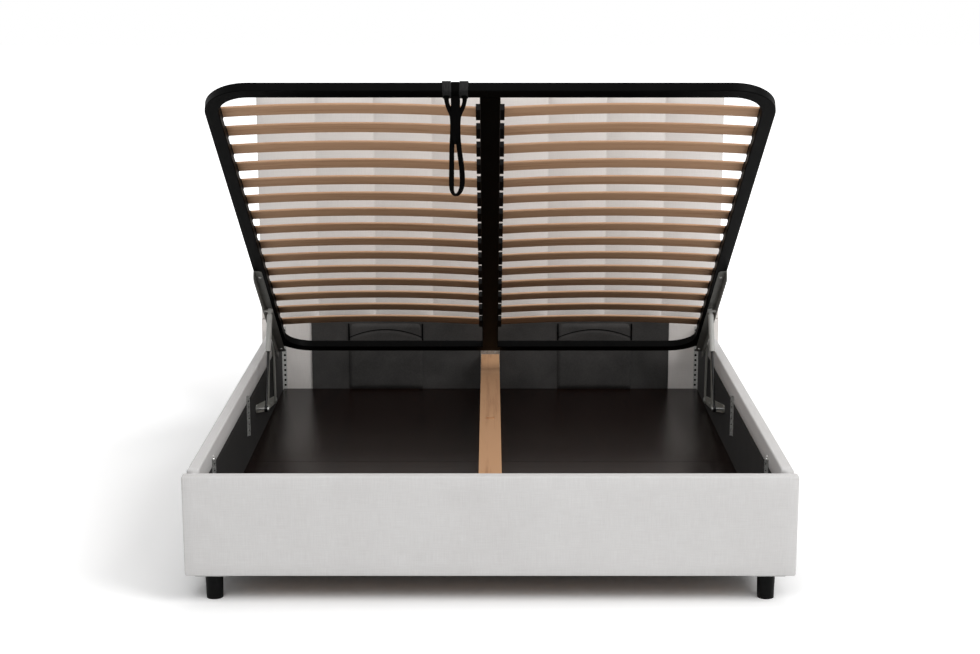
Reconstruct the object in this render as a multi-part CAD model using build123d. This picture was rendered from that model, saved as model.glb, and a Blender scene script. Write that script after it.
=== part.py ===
from build123d import *
from math import atan2, cos, degrees, hypot, radians, sin, sqrt
import os

# Ottoman storage bed for a 1600 by 2000 mm mattress, with its slatted platform lifted.
# X runs across the bed, Y from the foot end to the head end and Z up. The origin is on the floor
# under the middle of the bed. Lengths are in millimetres and angles in degrees.

# Clearances shared by all pieces, the reach of cuts beyond them and the sides of a bolt head
contact_gap = 0.3
running_gap = 0.05
cut_overrun = 20.0
hex_sides = 6

# Upholstered boards of the base
base_gap = 84.0
rail_top = 387.0
footboard_top = 377.0
footboard_thickness = 35.0
footboard_overhang = 11.0
rail_thickness = 34.0
cover_thickness = 2.0
cover_round = 6.0
flap_depth = 62.0

# Headboard: a back board with a flat skirt below and eight vertical cushion channels above
headboard_width = 1790.0
headboard_top = 1290.0
headboard_thickness = 90.0
back_board_thickness = 28.0
back_board_round = 8.0
channel_count = 8
channel_crown = 12.0
cushion_top_round = 30.0
cushion_foot_round = 10.0
skirt_rise = 11.0
skirt_round = 4.0

# Dark lining on the headboard inside the storage, with two sewn pockets
lining_side_inset = 116.0
lining_top = 395.0
lining_thickness = 6.0
pocket_side_shares = (0.3786, 0.79)
pocket_layer = 2.0
pocket_bottom_inset = 12.0
pocket_top_inset = 10.0
pocket_corner_round = 25.0
pocket_mouth_height = 208.0
pocket_mouth_rise = 33.0

# Floor of the storage
floor_top = 121.5
floor_thickness = 6.0
floor_side_gap = 1.0
floor_seam_gap = 2.0
floor_seam_share = 0.491
batten_width = 40.0
batten_height = 30.0
batten_shares = (0.035, 0.262, 0.491, 0.745, 0.965)

# Centre beam with its sheet metal hangers and the pad that the closed platform rests on
beam_width = 70.0
beam_height = 100.0
beam_top = 262.0
hanger_sheet = 2.5
hanger_depth = 40.0
hanger_cheek_height = 60.0
hanger_rise = 15.0
pad_width = 28.0
pad_length = 12.0
pad_height = 6.0
pad_share = 0.511

# Tapered round legs and the plates that hold them
leg_top_diameter = 52.0
leg_foot_diameter = 48.0
leg_plate_size = 110.0
leg_plate_thickness = 4.0
leg_plate_corner = 10.0
leg_side_inset = 74.0
leg_end_inset = 66.0
centre_leg_diameter = 40.0

# Perforated steel angles in the corners and on the rails
angle_sheet = 2.0
rail_angle_hole = 5.0
head_angle_hole = 8.0
angle_pitch = 20.0
rail_angle_bottom = 212.0
rail_angle_top = 350.0
rail_angle_leg = 14.0
rail_angle_shares = (0.1222, 0.4923)
platform_pass_gap = 1.5
head_angle_leg = 16.0
head_angle_top = 372.0

# Lifting platform: a welded tube frame in two halves with a centre bar
platform_width = 1610.0
platform_length = 1970.0
platform_foot_gap = 15.0
platform_head_gap = 20.0
tube_width = 40.0
tube_height = 27.0
tube_wall = 1.5
tube_corner = 2.0
frame_corner_radius = 135.0
centre_bar_width = 58.0

# Where the lifted platform stands, measured from its closed place
lift_angle = 34.03
lift_shift = 217.0
lift_rise = 59.2

# Sprung slats in plastic holders
slat_count = 15
slat_width = 53.0
slat_thickness = 8.0
slat_crown = 14.0
slat_foot_distance = 160.0
slat_head_distance = 179.2
holder_width = 60.0
holder_height = 20.0
holder_floor = 5.0
holder_tube_inset = 10.0
holder_side_overhang = 2.0
holder_centre_overhang = 12.0
holder_end_wall = 10.0
centre_web = 20.0

# Lift mechanism: angle bracket, two links, base plate and gas spring on each side
bracket_sheet = 3.0
bracket_flange = 28.0
bracket_depth = 30.0
bracket_length = 745.0
bracket_foot_round = 22.0
bracket_head_round = 12.0
front_pivot_reach = 235.0
rear_pivot_reach = 95.0
link_pivot_drop = 16.0
front_link_length = 277.0
rear_link_length = 215.0
link_width = 28.0
link_thickness = 5.0
link_side_gap = 0.5
link_platform_gap = 2.5
pivot_radius = 5.0
pivot_head_radius = 9.0
pivot_head_height = 2.8
base_plate_thickness = 3.0
base_plate_rim = 14.0

# Gas spring: cylinder on top, rod below
gas_pin_reach = 450.0
gas_pin_drop = 24.0
gas_base_reach = 274.0
gas_base_rise = 65.0
gas_axis_inset = 20.0
gas_cylinder_radius = 9.5
gas_rod_radius = 4.0
gas_rod_gap = 0.3
gas_eye_radius = 10.0
gas_eye_width = 10.0
gas_pin_radius = 4.5
gas_nut_radius = 7.5
gas_nut_height = 5.0
gas_cylinder_reach = 150.0
gas_cylinder_start = 14.0
gas_neck_radius = 6.5
gas_bore_start = 28.0
gas_rod_engagement = 30.0

# Webbing pull strap on the foot bar
strap_centre = -96.5
strap_band_width = 25.0
strap_band_spacing = 48.6
strap_thickness = 2.0
strap_neck_half = 13.0
strap_neck_start = 60.0
strap_middle_top = 4.0
strap_eyelet_top = 8.0
strap_eyelet_foot = 30.0
strap_eyelet_width = 5.0
strap_eyelet_side = 14.5
strap_loop_start = 135.0
strap_loop_shoulder = 175.0
strap_length = 288.0
strap_loop_half = 22.0
strap_hole_half = 8.7
strap_hole_inset = 7.0
strap_fold_thickness = 5.0

# Places along the bed that follow from the sizes above
storage_length = platform_foot_gap + platform_length + platform_head_gap
overall_length = footboard_thickness + storage_length + headboard_thickness
footboard_front = -overall_length / 2
footboard_back = footboard_front + footboard_thickness
headboard_face = footboard_back + storage_length
headboard_back = headboard_face + headboard_thickness
slat_run = platform_length - slat_foot_distance - slat_head_distance - slat_width
slat_pitch = slat_run / (slat_count - 1)
lining_face = headboard_face - lining_thickness
skirt_top = rail_top + skirt_rise

# Places across the bed, from the platform out through the mechanism to the rail and back
platform_side = platform_width / 2
flange_inner = platform_side - bracket_sheet
link_inner = platform_side + link_platform_gap
link_outer = link_inner + link_thickness
plate_inner = link_outer + link_side_gap
rail_inner = plate_inner + base_plate_thickness
rail_outer = rail_inner + rail_thickness
footboard_width = 2 * (rail_outer + footboard_overhang)
lining_side = rail_inner - lining_side_inset
pocket_inner_side, pocket_outer_side = [share * lining_side for share in pocket_side_shares]
gas_axis = flange_inner - gas_axis_inset
slat_inner = centre_web / 2
slat_outer = platform_side - holder_tube_inset - holder_end_wall

# Closed and lifted places of the underside corner at the platform's head end, as (Y, Z)
closed_underside = beam_top + pad_height + contact_gap
closed_end = (footboard_back + platform_foot_gap + platform_length, closed_underside)
lifted_end = (closed_end[0] - lift_shift, closed_end[1] + lift_rise)


def on_platform(reach, drop, end, tilt):
    """Point on the platform as (Y, Z): reach from the head end, drop below the underside."""
    turn = radians(tilt)
    y = end[0] - reach * cos(turn) - drop * sin(turn)
    z = end[1] + reach * sin(turn) - drop * cos(turn)
    return (y, z)


def base_pivot(reach, drop, link_length):
    """Fixed pivot whose link meets the same platform hole when lifted and when closed."""
    lifted = on_platform(reach, drop, lifted_end, lift_angle)
    closed = on_platform(reach, drop, closed_end, 0)
    chord = (closed[0] - lifted[0], closed[1] - lifted[1])
    chord_length = hypot(*chord)
    set_back = sqrt(link_length**2 - (chord_length / 2) ** 2)
    middle = ((lifted[0] + closed[0]) / 2, (lifted[1] + closed[1]) / 2)
    y = middle[0] + set_back * chord[1] / chord_length
    z = middle[1] - set_back * chord[0] / chord_length
    return (y, z)


def angle_of(start, end):
    """Direction from one (Y, Z) point to another, anticlockwise from +Y."""
    return degrees(atan2(end[1] - start[1], end[0] - start[0]))


def distance(start, end):
    return hypot(end[0] - start[0], end[1] - start[1])


front_base = base_pivot(front_pivot_reach, link_pivot_drop, front_link_length)
rear_base = base_pivot(rear_pivot_reach, link_pivot_drop, rear_link_length)
gas_base = (front_base[0] - gas_base_reach, front_base[1] + gas_base_rise)
front_top = on_platform(front_pivot_reach, link_pivot_drop, lifted_end, lift_angle)
rear_top = on_platform(rear_pivot_reach, link_pivot_drop, lifted_end, lift_angle)
gas_top = on_platform(gas_pin_reach, gas_pin_drop, lifted_end, lift_angle)


def block(x_range, y_range, z_range):
    """Box between two limits on each axis."""
    size = [high - low for low, high in (x_range, y_range, z_range)]
    centre = [(high + low) / 2 for low, high in (x_range, y_range, z_range)]
    return Pos(*centre) * Box(*size)


def both_sides(solid):
    """The solid on the right and its mirror image on the left."""
    return {"right": solid, "left": mirror(solid, about=Plane.YZ)}


def side_plate(outline, inner, thickness):
    """Plate standing in the YZ plane, from its inner X outwards."""
    return extrude(Plane.YZ.offset(inner) * outline, thickness)


def side_pin(point, radius, inner, outer):
    """Round pin along X between two X places."""
    return side_plate(Pos(*point) * Circle(radius), inner, outer - inner)


def hex_head(point, radius, inner, outer):
    """Six-sided bolt head or nut along X between two X places."""
    return side_plate(Pos(*point) * RegularPolygon(radius, hex_sides), inner, outer - inner)


def padded_board(length, thickness, top, end_wrap):
    """Core, fabric cover and inner lining of a base board, with X along it and Y to the storage."""
    height = top - base_gap
    outer = Box(length, thickness, height, align=(Align.CENTER, Align.MIN, Align.MIN))
    core_size = (length - 2 * end_wrap, thickness - 2 * cover_thickness, height - 2 * cover_thickness)
    core = Box(*core_size, align=(Align.CENTER, Align.MIN, Align.MIN))
    core = Pos(0, cover_thickness, cover_thickness) * core
    outer = fillet(outer.edges().filter_by(Axis.X), cover_round)
    core = chamfer(core.edges().filter_by(Axis.X), cover_round - cover_thickness)
    half = length / 2 - end_wrap
    lining = block(
        (-half, half),
        (thickness - cover_thickness, thickness),
        (cover_round, height - flap_depth),
    )
    return core, outer - core - lining, lining


def make_footboard():
    solids = padded_board(footboard_width, footboard_thickness, footboard_top, cover_thickness)
    core, cover, lining = solids
    place = Pos(0, footboard_front, base_gap)
    return {
        "footboard_core": place * core,
        "footboard_cover": place * cover,
        "footboard_lining": place * lining,
    }


def make_side_rails():
    nodes = {}
    middle = footboard_back + storage_length / 2
    place = Pos(rail_outer, middle, base_gap) * Rot(0, 0, 90)
    names = ("side_rail_core", "side_rail_cover", "side_rail_lining")
    for name, solid in zip(names, padded_board(storage_length, rail_thickness, rail_top, 0)):
        for side, placed in both_sides(place * solid).items():
            nodes[f"{name}_{side}"] = placed
    return nodes


def channel_plan():
    """Plan of the channelled cushion: a row of shallow arcs in front of a straight back."""
    width = headboard_width / channel_count
    seam = headboard_face + channel_crown
    back = headboard_back - back_board_thickness
    edges = []
    for index in range(channel_count):
        left = -headboard_width / 2 + index * width
        crest = (left + width / 2, headboard_face)
        edges.append(ThreePointArc((left, seam), crest, (left + width, seam)))
    half = headboard_width / 2
    edges.append(Polyline((half, seam), (half, back), (-half, back), (-half, seam)))
    return make_face(edges)


def make_headboard():
    back_face = headboard_back - back_board_thickness
    half = headboard_width / 2
    board = block((-half, half), (back_face, headboard_back), (base_gap, headboard_top))
    board = fillet(board.edges().group_by(Axis.Y)[-1], back_board_round)
    skirt = block((-half, half), (headboard_face, back_face), (base_gap, skirt_top))
    skirt = fillet(skirt.edges().group_by(Axis.Y)[0], skirt_round)
    foot = skirt_top + contact_gap
    cushion = extrude(Pos(0, 0, foot) * channel_plan(), headboard_top - foot)
    side = block((-half, half), (headboard_face, back_face + cut_overrun), (foot, headboard_top))
    front_edges = side.edges().filter_by(Axis.X).group_by(Axis.Y)[0].sort_by(Axis.Z)
    side = fillet(front_edges[-1], cushion_top_round)
    front_edges = side.edges().filter_by(Axis.X).group_by(Axis.Y)[0].sort_by(Axis.Z)
    side = fillet(front_edges[0], cushion_foot_round)
    return {"headboard_back": board, "headboard_skirt": skirt, "headboard_cushion": cushion & side}


def pocket_layer_plan(low, high):
    """Backing of one sewn pocket, as (X, Z), with rounded upper corners."""
    top = lining_top - pocket_top_inset
    bottom = floor_top + pocket_bottom_inset
    plan = Pos((low + high) / 2, (top + bottom) / 2) * Rectangle(high - low, top - bottom)
    return fillet(plan.vertices().group_by(Axis.Y)[-1], pocket_corner_round)


def pocket_pouch_plan(low, high):
    """Front layer of one pocket, whose mouth is a shallow arch."""
    bottom = floor_top + pocket_bottom_inset
    mouth = floor_top + pocket_mouth_height
    crest = ((low + high) / 2, mouth + pocket_mouth_rise)
    arch = ThreePointArc((low, mouth), crest, (high, mouth))
    sides = Polyline((high, mouth), (high, bottom), (low, bottom), (low, mouth))
    return make_face([arch, sides])


def make_head_lining():
    panel = block(
        (-lining_side, lining_side),
        (lining_face, headboard_face),
        (floor_top, lining_top),
    )
    front = Plane.XZ.offset(-lining_face)
    backing = extrude(front * pocket_layer_plan(pocket_inner_side, pocket_outer_side), pocket_layer)
    pouch = extrude(front * pocket_pouch_plan(pocket_inner_side, pocket_outer_side), 2 * pocket_layer)
    pockets = list(both_sides(backing + pouch).values())
    return {"head_lining": panel, "lining_pockets": Compound(children=pockets)}


def make_floor():
    nodes = {}
    seam = footboard_back + floor_seam_share * storage_length
    bottom = floor_top - floor_thickness
    side = rail_inner - floor_side_gap
    halves = {
        "foot": (footboard_back + floor_side_gap, seam - floor_seam_gap / 2),
        "head": (seam + floor_seam_gap / 2, headboard_face - floor_side_gap),
    }
    panels = []
    for y_range in halves.values():
        panels.append(block((floor_seam_gap / 2, side), y_range, (bottom, floor_top)))
        panels.append(block((-side, -floor_seam_gap / 2), y_range, (bottom, floor_top)))
    nodes["floor_panels"] = Compound(children=panels)
    battens = []
    for share in batten_shares:
        y = footboard_back + share * storage_length
        y_range = (y - batten_width / 2, y + batten_width / 2)
        battens.append(block((-rail_inner, rail_inner), y_range, (bottom - batten_height, bottom)))
    nodes["floor_battens"] = Compound(children=battens)
    return nodes


def beam_hanger():
    """Sheet hanger at Y = 0, opening towards +Y: back plate, seat and two cheeks."""
    seat_bottom = beam_top - beam_height - hanger_sheet
    half = beam_width / 2 + contact_gap
    outer = half + hanger_sheet
    back = block((-outer, outer), (0, hanger_sheet), (seat_bottom, beam_top + hanger_rise))
    seat = block((-outer, outer), (0, hanger_depth), (seat_bottom, seat_bottom + hanger_sheet))
    cheek = block((half, outer), (0, hanger_depth), (seat_bottom, seat_bottom + hanger_cheek_height))
    return back + seat + cheek + mirror(cheek, about=Plane.YZ)


def make_centre_beam():
    start = footboard_back + hanger_sheet + contact_gap
    end = lining_face - hanger_sheet - contact_gap
    half = beam_width / 2
    beam = block((-half, half), (start, end), (beam_top - beam_height, beam_top))
    foot_hanger = Pos(0, footboard_back, 0) * beam_hanger()
    head_hanger = Pos(0, lining_face, 0) * mirror(beam_hanger(), about=Plane.XZ)
    pad_y = footboard_back + pad_share * storage_length
    pad = block(
        (-pad_width / 2, pad_width / 2),
        (pad_y - pad_length / 2, pad_y + pad_length / 2),
        (beam_top, beam_top + pad_height),
    )
    return {
        "centre_beam": beam,
        "beam_hangers": Compound(children=[foot_hanger, head_hanger]),
        "beam_rest_pad": pad,
    }


def round_leg(top_diameter, foot_diameter, height):
    """Round leg standing on Z = 0, turned from its half profile."""
    foot = (foot_diameter / 2, 0)
    top = (top_diameter / 2, height)
    profile = make_face(Polyline((0, 0), foot, top, (0, height), close=True))
    return revolve(Plane.XZ * profile, Axis.Z)


def make_legs():
    leg_x = footboard_width / 2 - leg_side_inset
    front_y = footboard_front + leg_end_inset
    rear_y = headboard_back - leg_end_inset
    height = base_gap - leg_plate_thickness
    leg = round_leg(leg_top_diameter, leg_foot_diameter, height)
    outline = Rectangle(leg_plate_size, leg_plate_size)
    plate = extrude(chamfer(outline.vertices(), leg_plate_corner), leg_plate_thickness)
    corners = [Pos(x, y, 0) for x in (-leg_x, leg_x) for y in (front_y, rear_y)]
    plates = [place * Pos(0, 0, height) * plate for place in corners]
    centre_height = floor_top - floor_thickness - batten_height
    centre_leg = round_leg(centre_leg_diameter, centre_leg_diameter, centre_height)
    centre_y = footboard_back + batten_shares[len(batten_shares) // 2] * storage_length
    return {
        "corner_legs": Compound(children=[place * leg for place in corners]),
        "centre_leg": Pos(0, centre_y, 0) * centre_leg,
        "leg_plates": Compound(children=plates),
    }


def perforated_angle(face_leg, rail_leg, hole_size, bottom, top):
    """Upright angle in the corner X = 0, Y = 0: its holed leg faces -Y and reaches to -X."""
    face = block((-face_leg, 0), (-angle_sheet, 0), (bottom, top))
    along = block((-angle_sheet, 0), (-rail_leg, 0), (bottom, top))
    count = int((top - bottom) / angle_pitch)
    margin = (top - bottom - (count - 1) * angle_pitch) / 2
    hole_x = -(face_leg + angle_sheet) / 2
    hole = Plane.XZ * RegularPolygon(hole_size / 2, hex_sides)
    holes = []
    for index in range(count):
        place = Pos(hole_x, 0, bottom + margin + index * angle_pitch)
        holes.append(place * extrude(hole, cut_overrun, both=True))
    return face + along - holes


def make_angles():
    rail_face_leg = rail_inner - platform_side - platform_pass_gap
    rail_legs = (rail_face_leg, rail_angle_leg)
    rail_angle = perforated_angle(*rail_legs, rail_angle_hole, rail_angle_bottom, rail_angle_top)
    rail_angles = []
    for share in rail_angle_shares:
        placed = Pos(rail_inner, footboard_back + share * storage_length, 0) * rail_angle
        rail_angles += both_sides(placed).values()
    head_legs = (head_angle_leg, head_angle_leg)
    head_angle = perforated_angle(*head_legs, head_angle_hole, floor_top, head_angle_top)
    placed = Pos(rail_inner, headboard_face, 0) * head_angle
    return {
        "rail_angles": Compound(children=rail_angles),
        "head_angles": Compound(children=list(both_sides(placed).values())),
    }


def make_base_plates():
    """Plate on each rail that carries both links and the gas spring, and its pivot pins."""
    rims = [Pos(*point) * Circle(base_plate_rim) for point in (gas_base, front_base, rear_base)]
    outline = make_hull([edge for rim in rims for edge in rim.edges()])
    plate = side_plate(outline, plate_inner, base_plate_thickness)
    pins = []
    for point in (front_base, rear_base):
        head_outer = link_inner - link_side_gap
        shaft = side_pin(point, pivot_radius, head_outer, plate_inner)
        head = hex_head(point, pivot_head_radius, head_outer - pivot_head_height, head_outer)
        pins.append(shaft + head)
    gas_nut_outer = gas_axis - gas_eye_width / 2 - link_side_gap
    gas_shaft = side_pin(gas_base, gas_pin_radius, gas_nut_outer, plate_inner)
    gas_nut = hex_head(gas_base, gas_nut_radius, gas_nut_outer - gas_nut_height, gas_nut_outer)
    pins.append(gas_shaft + gas_nut)
    nodes = {f"base_plate_{side}": solid for side, solid in both_sides(plate).items()}
    all_pins = [placed for pin in pins for placed in both_sides(pin).values()]
    nodes["base_pins"] = Compound(children=all_pins)
    return nodes


def link_bar(start, end, bores):
    """Flat link with round ends between two (Y, Z) points, bored at the points in bores."""
    middle = ((start[0] + end[0]) / 2, (start[1] + end[1]) / 2)
    slot = SlotCenterToCenter(distance(start, end), link_width, rotation=angle_of(start, end))
    outline = Pos(*middle) * slot
    for point in bores:
        outline -= Pos(*point) * Circle(pivot_radius + running_gap)
    return side_plate(outline, link_inner, link_thickness)


def make_links():
    nodes = {}
    front = link_bar(front_base, front_top, (front_base, front_top))
    rear = link_bar(rear_base, rear_top, (rear_base,))
    rivet = side_pin(rear_top, pivot_radius, platform_side + contact_gap, link_inner)
    for name, solid in (("front_link", front), ("rear_link", rear + rivet)):
        for side, placed in both_sides(solid).items():
            nodes[f"{name}_{side}"] = placed
    return nodes


def gas_eye():
    """Eye in the plane X = 0 with its bore along X."""
    return side_pin((0, 0), gas_eye_radius, -gas_eye_width / 2, gas_eye_width / 2)


def make_gas_springs():
    """Cylinder hanging from the bracket and rod standing on the base plate, open to full length."""
    length = distance(gas_base, gas_top)
    lean = angle_of(gas_base, gas_top) - 90
    base_place = Pos(gas_axis, *gas_base) * Rot(lean, 0, 0)
    top_place = Pos(gas_axis, *gas_top) * Rot(lean, 0, 0)
    rod_length = length - gas_cylinder_reach + gas_rod_engagement
    up = (Align.CENTER, Align.CENTER, Align.MIN)
    down = (Align.CENTER, Align.CENTER, Align.MAX)
    rod = Cylinder(gas_rod_radius, rod_length, align=up) + gas_eye()
    rod -= side_pin((0, 0), gas_pin_radius + running_gap, -cut_overrun, cut_overrun)
    body_length = gas_cylinder_reach - gas_cylinder_start
    body = Pos(0, 0, -gas_cylinder_start) * Cylinder(gas_cylinder_radius, body_length, align=down)
    neck = Cylinder(gas_neck_radius, gas_cylinder_start, align=down)
    bore_length = gas_cylinder_reach - gas_bore_start + cut_overrun
    bore_radius = gas_rod_radius + gas_rod_gap
    bore = Pos(0, 0, -gas_bore_start) * Cylinder(bore_radius, bore_length, align=down)
    pin_end = flange_inner - contact_gap - gas_axis
    pin = side_pin((0, 0), gas_pin_radius, gas_eye_width / 2, pin_end)
    nut = hex_head((0, 0), gas_nut_radius, -gas_eye_width / 2 - gas_nut_height, -gas_eye_width / 2)
    cylinder = body + neck + gas_eye() + pin + nut - bore
    nodes = {}
    for name, solid in (("gas_rod", base_place * rod), ("gas_cylinder", top_place * cylinder)):
        for side, placed in both_sides(solid).items():
            nodes[f"{name}_{side}"] = placed
    return nodes


# Platform pieces are drawn flat, with the underside at Z = 0 and the head end at Y = 0.
lifted_place = Pos(0, *lifted_end) * Rot(-lift_angle, 0, 0)


def platform_outline(inset):
    """Rounded rectangle that lies inside the platform's outline by the inset."""
    width = platform_width - 2 * inset
    length = platform_length - 2 * inset
    return RectangleRounded(width, length, frame_corner_radius - inset)


def frame_ring():
    """Hollow rectangular tube bent into the platform's outline."""
    ring = extrude(platform_outline(0) - platform_outline(tube_width), tube_height)
    ring = chamfer(ring.faces().sort_by(Axis.Z)[0].edges(), tube_corner)
    ring = chamfer(ring.faces().sort_by(Axis.Z)[-1].edges(), tube_corner)
    bore = platform_outline(tube_wall) - platform_outline(tube_width - tube_wall)
    cavity = Pos(0, 0, tube_wall) * extrude(bore, tube_height - 2 * tube_wall)
    return Pos(0, -platform_length / 2, 0) * (ring - cavity)


def make_frame():
    ring = frame_ring()
    across = (-platform_width, platform_width)
    up = (-cut_overrun, tube_height + cut_overrun)
    middle = -platform_length / 2
    foot_half = ring & block(across, (-platform_length - cut_overrun, middle), up)
    head_half = ring & block(across, (middle, cut_overrun), up)
    half = centre_bar_width / 2
    span = (tube_width - platform_length, -tube_width)
    bar = block((-half, half), span, (0, tube_height))
    bar = chamfer(bar.edges().filter_by(Axis.Y), tube_corner)
    bore = block(
        (tube_wall - half, half - tube_wall),
        span,
        (tube_wall, tube_height - tube_wall),
    )
    return {
        "frame_foot_hoop": lifted_place * foot_half,
        "frame_head_hoop": lifted_place * head_half,
        "frame_centre_bar": lifted_place * (bar - bore),
    }


def slat_centre(index):
    """Y of a slat's middle on the flat platform, counted from the foot end."""
    return slat_foot_distance + slat_width / 2 + index * slat_pitch - platform_length


def slat_pair(index):
    """One row: two sprung slats, each a shallow arch seen along Y."""
    low = tube_height + holder_floor
    high = low + slat_thickness
    middle = (slat_inner + slat_outer) / 2
    under = ThreePointArc((slat_inner, low), (middle, low + slat_crown), (slat_outer, low))
    over = ThreePointArc((slat_inner, high), (middle, high + slat_crown), (slat_outer, high))
    sides = [Line((x, low), (x, high)) for x in (slat_inner, slat_outer)]
    profile = Plane.XZ * make_face([under, over, *sides])
    slat = Pos(0, slat_centre(index) + slat_width / 2, 0) * extrude(profile, slat_width)
    return Compound(children=list(both_sides(slat).values()))


def holder_pocket(x_range):
    """Space for a slat's end inside a holder."""
    half = slat_width / 2 + contact_gap
    floor = tube_height + holder_floor - contact_gap
    roof = tube_height + holder_height - holder_floor + contact_gap
    return block(x_range, (-half, half), (floor, roof))


def side_holder():
    holder_inner = platform_side - tube_width - holder_side_overhang
    shell = block(
        (holder_inner, platform_side - holder_tube_inset),
        (-holder_width / 2, holder_width / 2),
        (tube_height, tube_height + holder_height),
    )
    return shell - holder_pocket((holder_inner - cut_overrun, slat_outer + contact_gap))


def centre_holder():
    half = centre_bar_width / 2 + holder_centre_overhang
    shell = block(
        (-half, half),
        (-holder_width / 2, holder_width / 2),
        (tube_height, tube_height + holder_height),
    )
    pocket = holder_pocket((slat_inner - contact_gap, half + cut_overrun))
    return shell - pocket - mirror(pocket, about=Plane.YZ)


def make_slats():
    nodes = {}
    side_holders = []
    centre_holders = []
    for index in range(slat_count):
        place = Pos(0, slat_centre(index), 0)
        nodes[f"slat_row_{index + 1:02d}"] = lifted_place * slat_pair(index)
        side_holders += both_sides(place * side_holder()).values()
        centre_holders.append(place * centre_holder())
    nodes["slat_holders_side"] = lifted_place * Compound(children=side_holders)
    nodes["slat_holders_centre"] = lifted_place * Compound(children=centre_holders)
    return nodes


def make_lift_brackets():
    """Steel angle under each side tube, with a hanging flange for the pivots."""
    shelf = block(
        (platform_side - bracket_flange, platform_side),
        (-bracket_length, 0),
        (-bracket_sheet, 0),
    )
    shelf = fillet(shelf.edges().filter_by(Axis.Z).group_by(Axis.X)[0], bracket_head_round)
    flange = block((flange_inner, platform_side), (-bracket_length, 0), (-bracket_depth, 0))
    low_edges = flange.edges().filter_by(Axis.X).group_by(Axis.Z)[0].sort_by(Axis.Y)
    flange = fillet(low_edges[0], bracket_foot_round)
    low_edges = flange.edges().filter_by(Axis.X).group_by(Axis.Z)[0].sort_by(Axis.Y)
    flange = fillet(low_edges[-1], bracket_head_round)
    bracket = shelf + flange
    nodes = {}
    for side, placed in both_sides(bracket).items():
        nodes[f"lift_bracket_{side}"] = lifted_place * placed
    head = hex_head(front_top, pivot_head_radius, flange_inner - pivot_head_height, flange_inner)
    shaft = side_pin(front_top, pivot_radius, platform_side, link_outer)
    pins = [*both_sides(head).values(), *both_sides(shaft).values()]
    nodes["bracket_pins"] = Compound(children=pins)
    return nodes


def strap_outline():
    """Outline of the hanging strap as (X, Z) below its fold: two arms, a neck and a loop."""
    arm_outer = (strap_band_spacing + strap_band_width) / 2
    arm_inner = (strap_band_spacing - strap_band_width) / 2
    neck = strap_neck_half
    loop = strap_loop_half
    low = loop - strap_length
    arms = Polyline(
        (-neck, -strap_neck_start),
        (-arm_outer, 0),
        (-arm_inner, 0),
        (-arm_inner, -strap_middle_top),
        (arm_inner, -strap_middle_top),
        (arm_inner, 0),
        (arm_outer, 0),
        (neck, -strap_neck_start),
        (neck, -strap_loop_start),
        (loop, -strap_loop_shoulder),
        (loop, low),
    )
    round_end = ThreePointArc((loop, low), (0, -strap_length), (-loop, low))
    back = Polyline((-loop, low), (-loop, -strap_loop_shoulder), (-neck, -strap_loop_start))
    close = Line((-neck, -strap_loop_start), (-neck, -strap_neck_start))
    return make_face([arms, round_end, back, close])


def strap_hole():
    """Hand opening of the loop, as (X, Z)."""
    half = strap_hole_half
    low = strap_loop_half - strap_length
    peak = -strap_loop_start - strap_hole_inset
    shoulder = -strap_loop_shoulder
    sides = Polyline((-half, low), (-half, shoulder), (0, peak), (half, shoulder), (half, low))
    end = ThreePointArc((half, low), (0, low - half), (-half, low))
    return make_face([sides, end])


def strap_eyelet():
    """Small gap between the middle band and the arm on the right, as (X, Z)."""
    inner = strap_eyelet_side
    points = [
        (inner, -strap_eyelet_top),
        (inner + strap_eyelet_width, -strap_eyelet_top),
        (inner, -strap_eyelet_foot),
    ]
    return make_face(Polyline(*points, close=True))


def strap_fold_point():
    """Axis on which the strap swings below the foot bar, as (Y, Z)."""
    reach = platform_length - tube_width / 2
    drop = contact_gap + strap_thickness + contact_gap + strap_fold_thickness / 2
    return on_platform(reach, drop, lifted_end, lift_angle)


def make_strap():
    fold = strap_fold_point()
    hanging = Pos(strap_centre, fold[0] + strap_fold_thickness / 2, fold[1])
    eyelet = strap_eyelet()
    flat = strap_outline() - strap_hole() - eyelet - mirror(eyelet, about=Plane.YZ)
    flat = Plane.XZ * flat
    strap = hanging * extrude(flat, strap_fold_thickness)
    wraps = []
    bar_y = tube_width / 2 - platform_length
    inner = (strap_band_width + cut_overrun, tube_width + 2 * contact_gap, tube_height + 2 * contact_gap)
    outer = (strap_band_width, inner[1] + 2 * strap_thickness, inner[2] + 2 * strap_thickness)
    band = chamfer(Box(*outer).edges().filter_by(Axis.X), tube_corner) - Box(*inner)
    for offset in (-strap_band_spacing / 2, strap_band_spacing / 2):
        x = strap_centre + offset
        roll = Pos(x, *fold) * Rot(0, 90, 0)
        strap += roll * Cylinder(strap_fold_thickness / 2, strap_band_width)
        wraps.append(lifted_place * Pos(x, bar_y, tube_height / 2) * band)
    return {"strap_wraps": Compound(children=wraps), "pull_strap": strap}


def all_nodes():
    nodes = {}
    makers = (
        make_footboard,
        make_side_rails,
        make_headboard,
        make_head_lining,
        make_floor,
        make_centre_beam,
        make_legs,
        make_angles,
        make_base_plates,
        make_links,
        make_gas_springs,
        make_frame,
        make_slats,
        make_lift_brackets,
        make_strap,
    )
    for maker in makers:
        nodes.update(maker())
    return nodes


os.makedirs("parts", exist_ok=True)
for name, shape in all_nodes().items():
    export_step(shape, f"parts/{name}.step")
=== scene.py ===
"""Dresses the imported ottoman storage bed: upholstery, linings, webbing, fixings, finishes and studio."""

import logging
import math
from dataclasses import dataclass, field
from enum import Enum
from functools import cache
from typing import Any, Callable, ClassVar, Iterable, Optional, Sequence

import bmesh
import bpy
from mathutils import Matrix, Vector, noise


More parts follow.
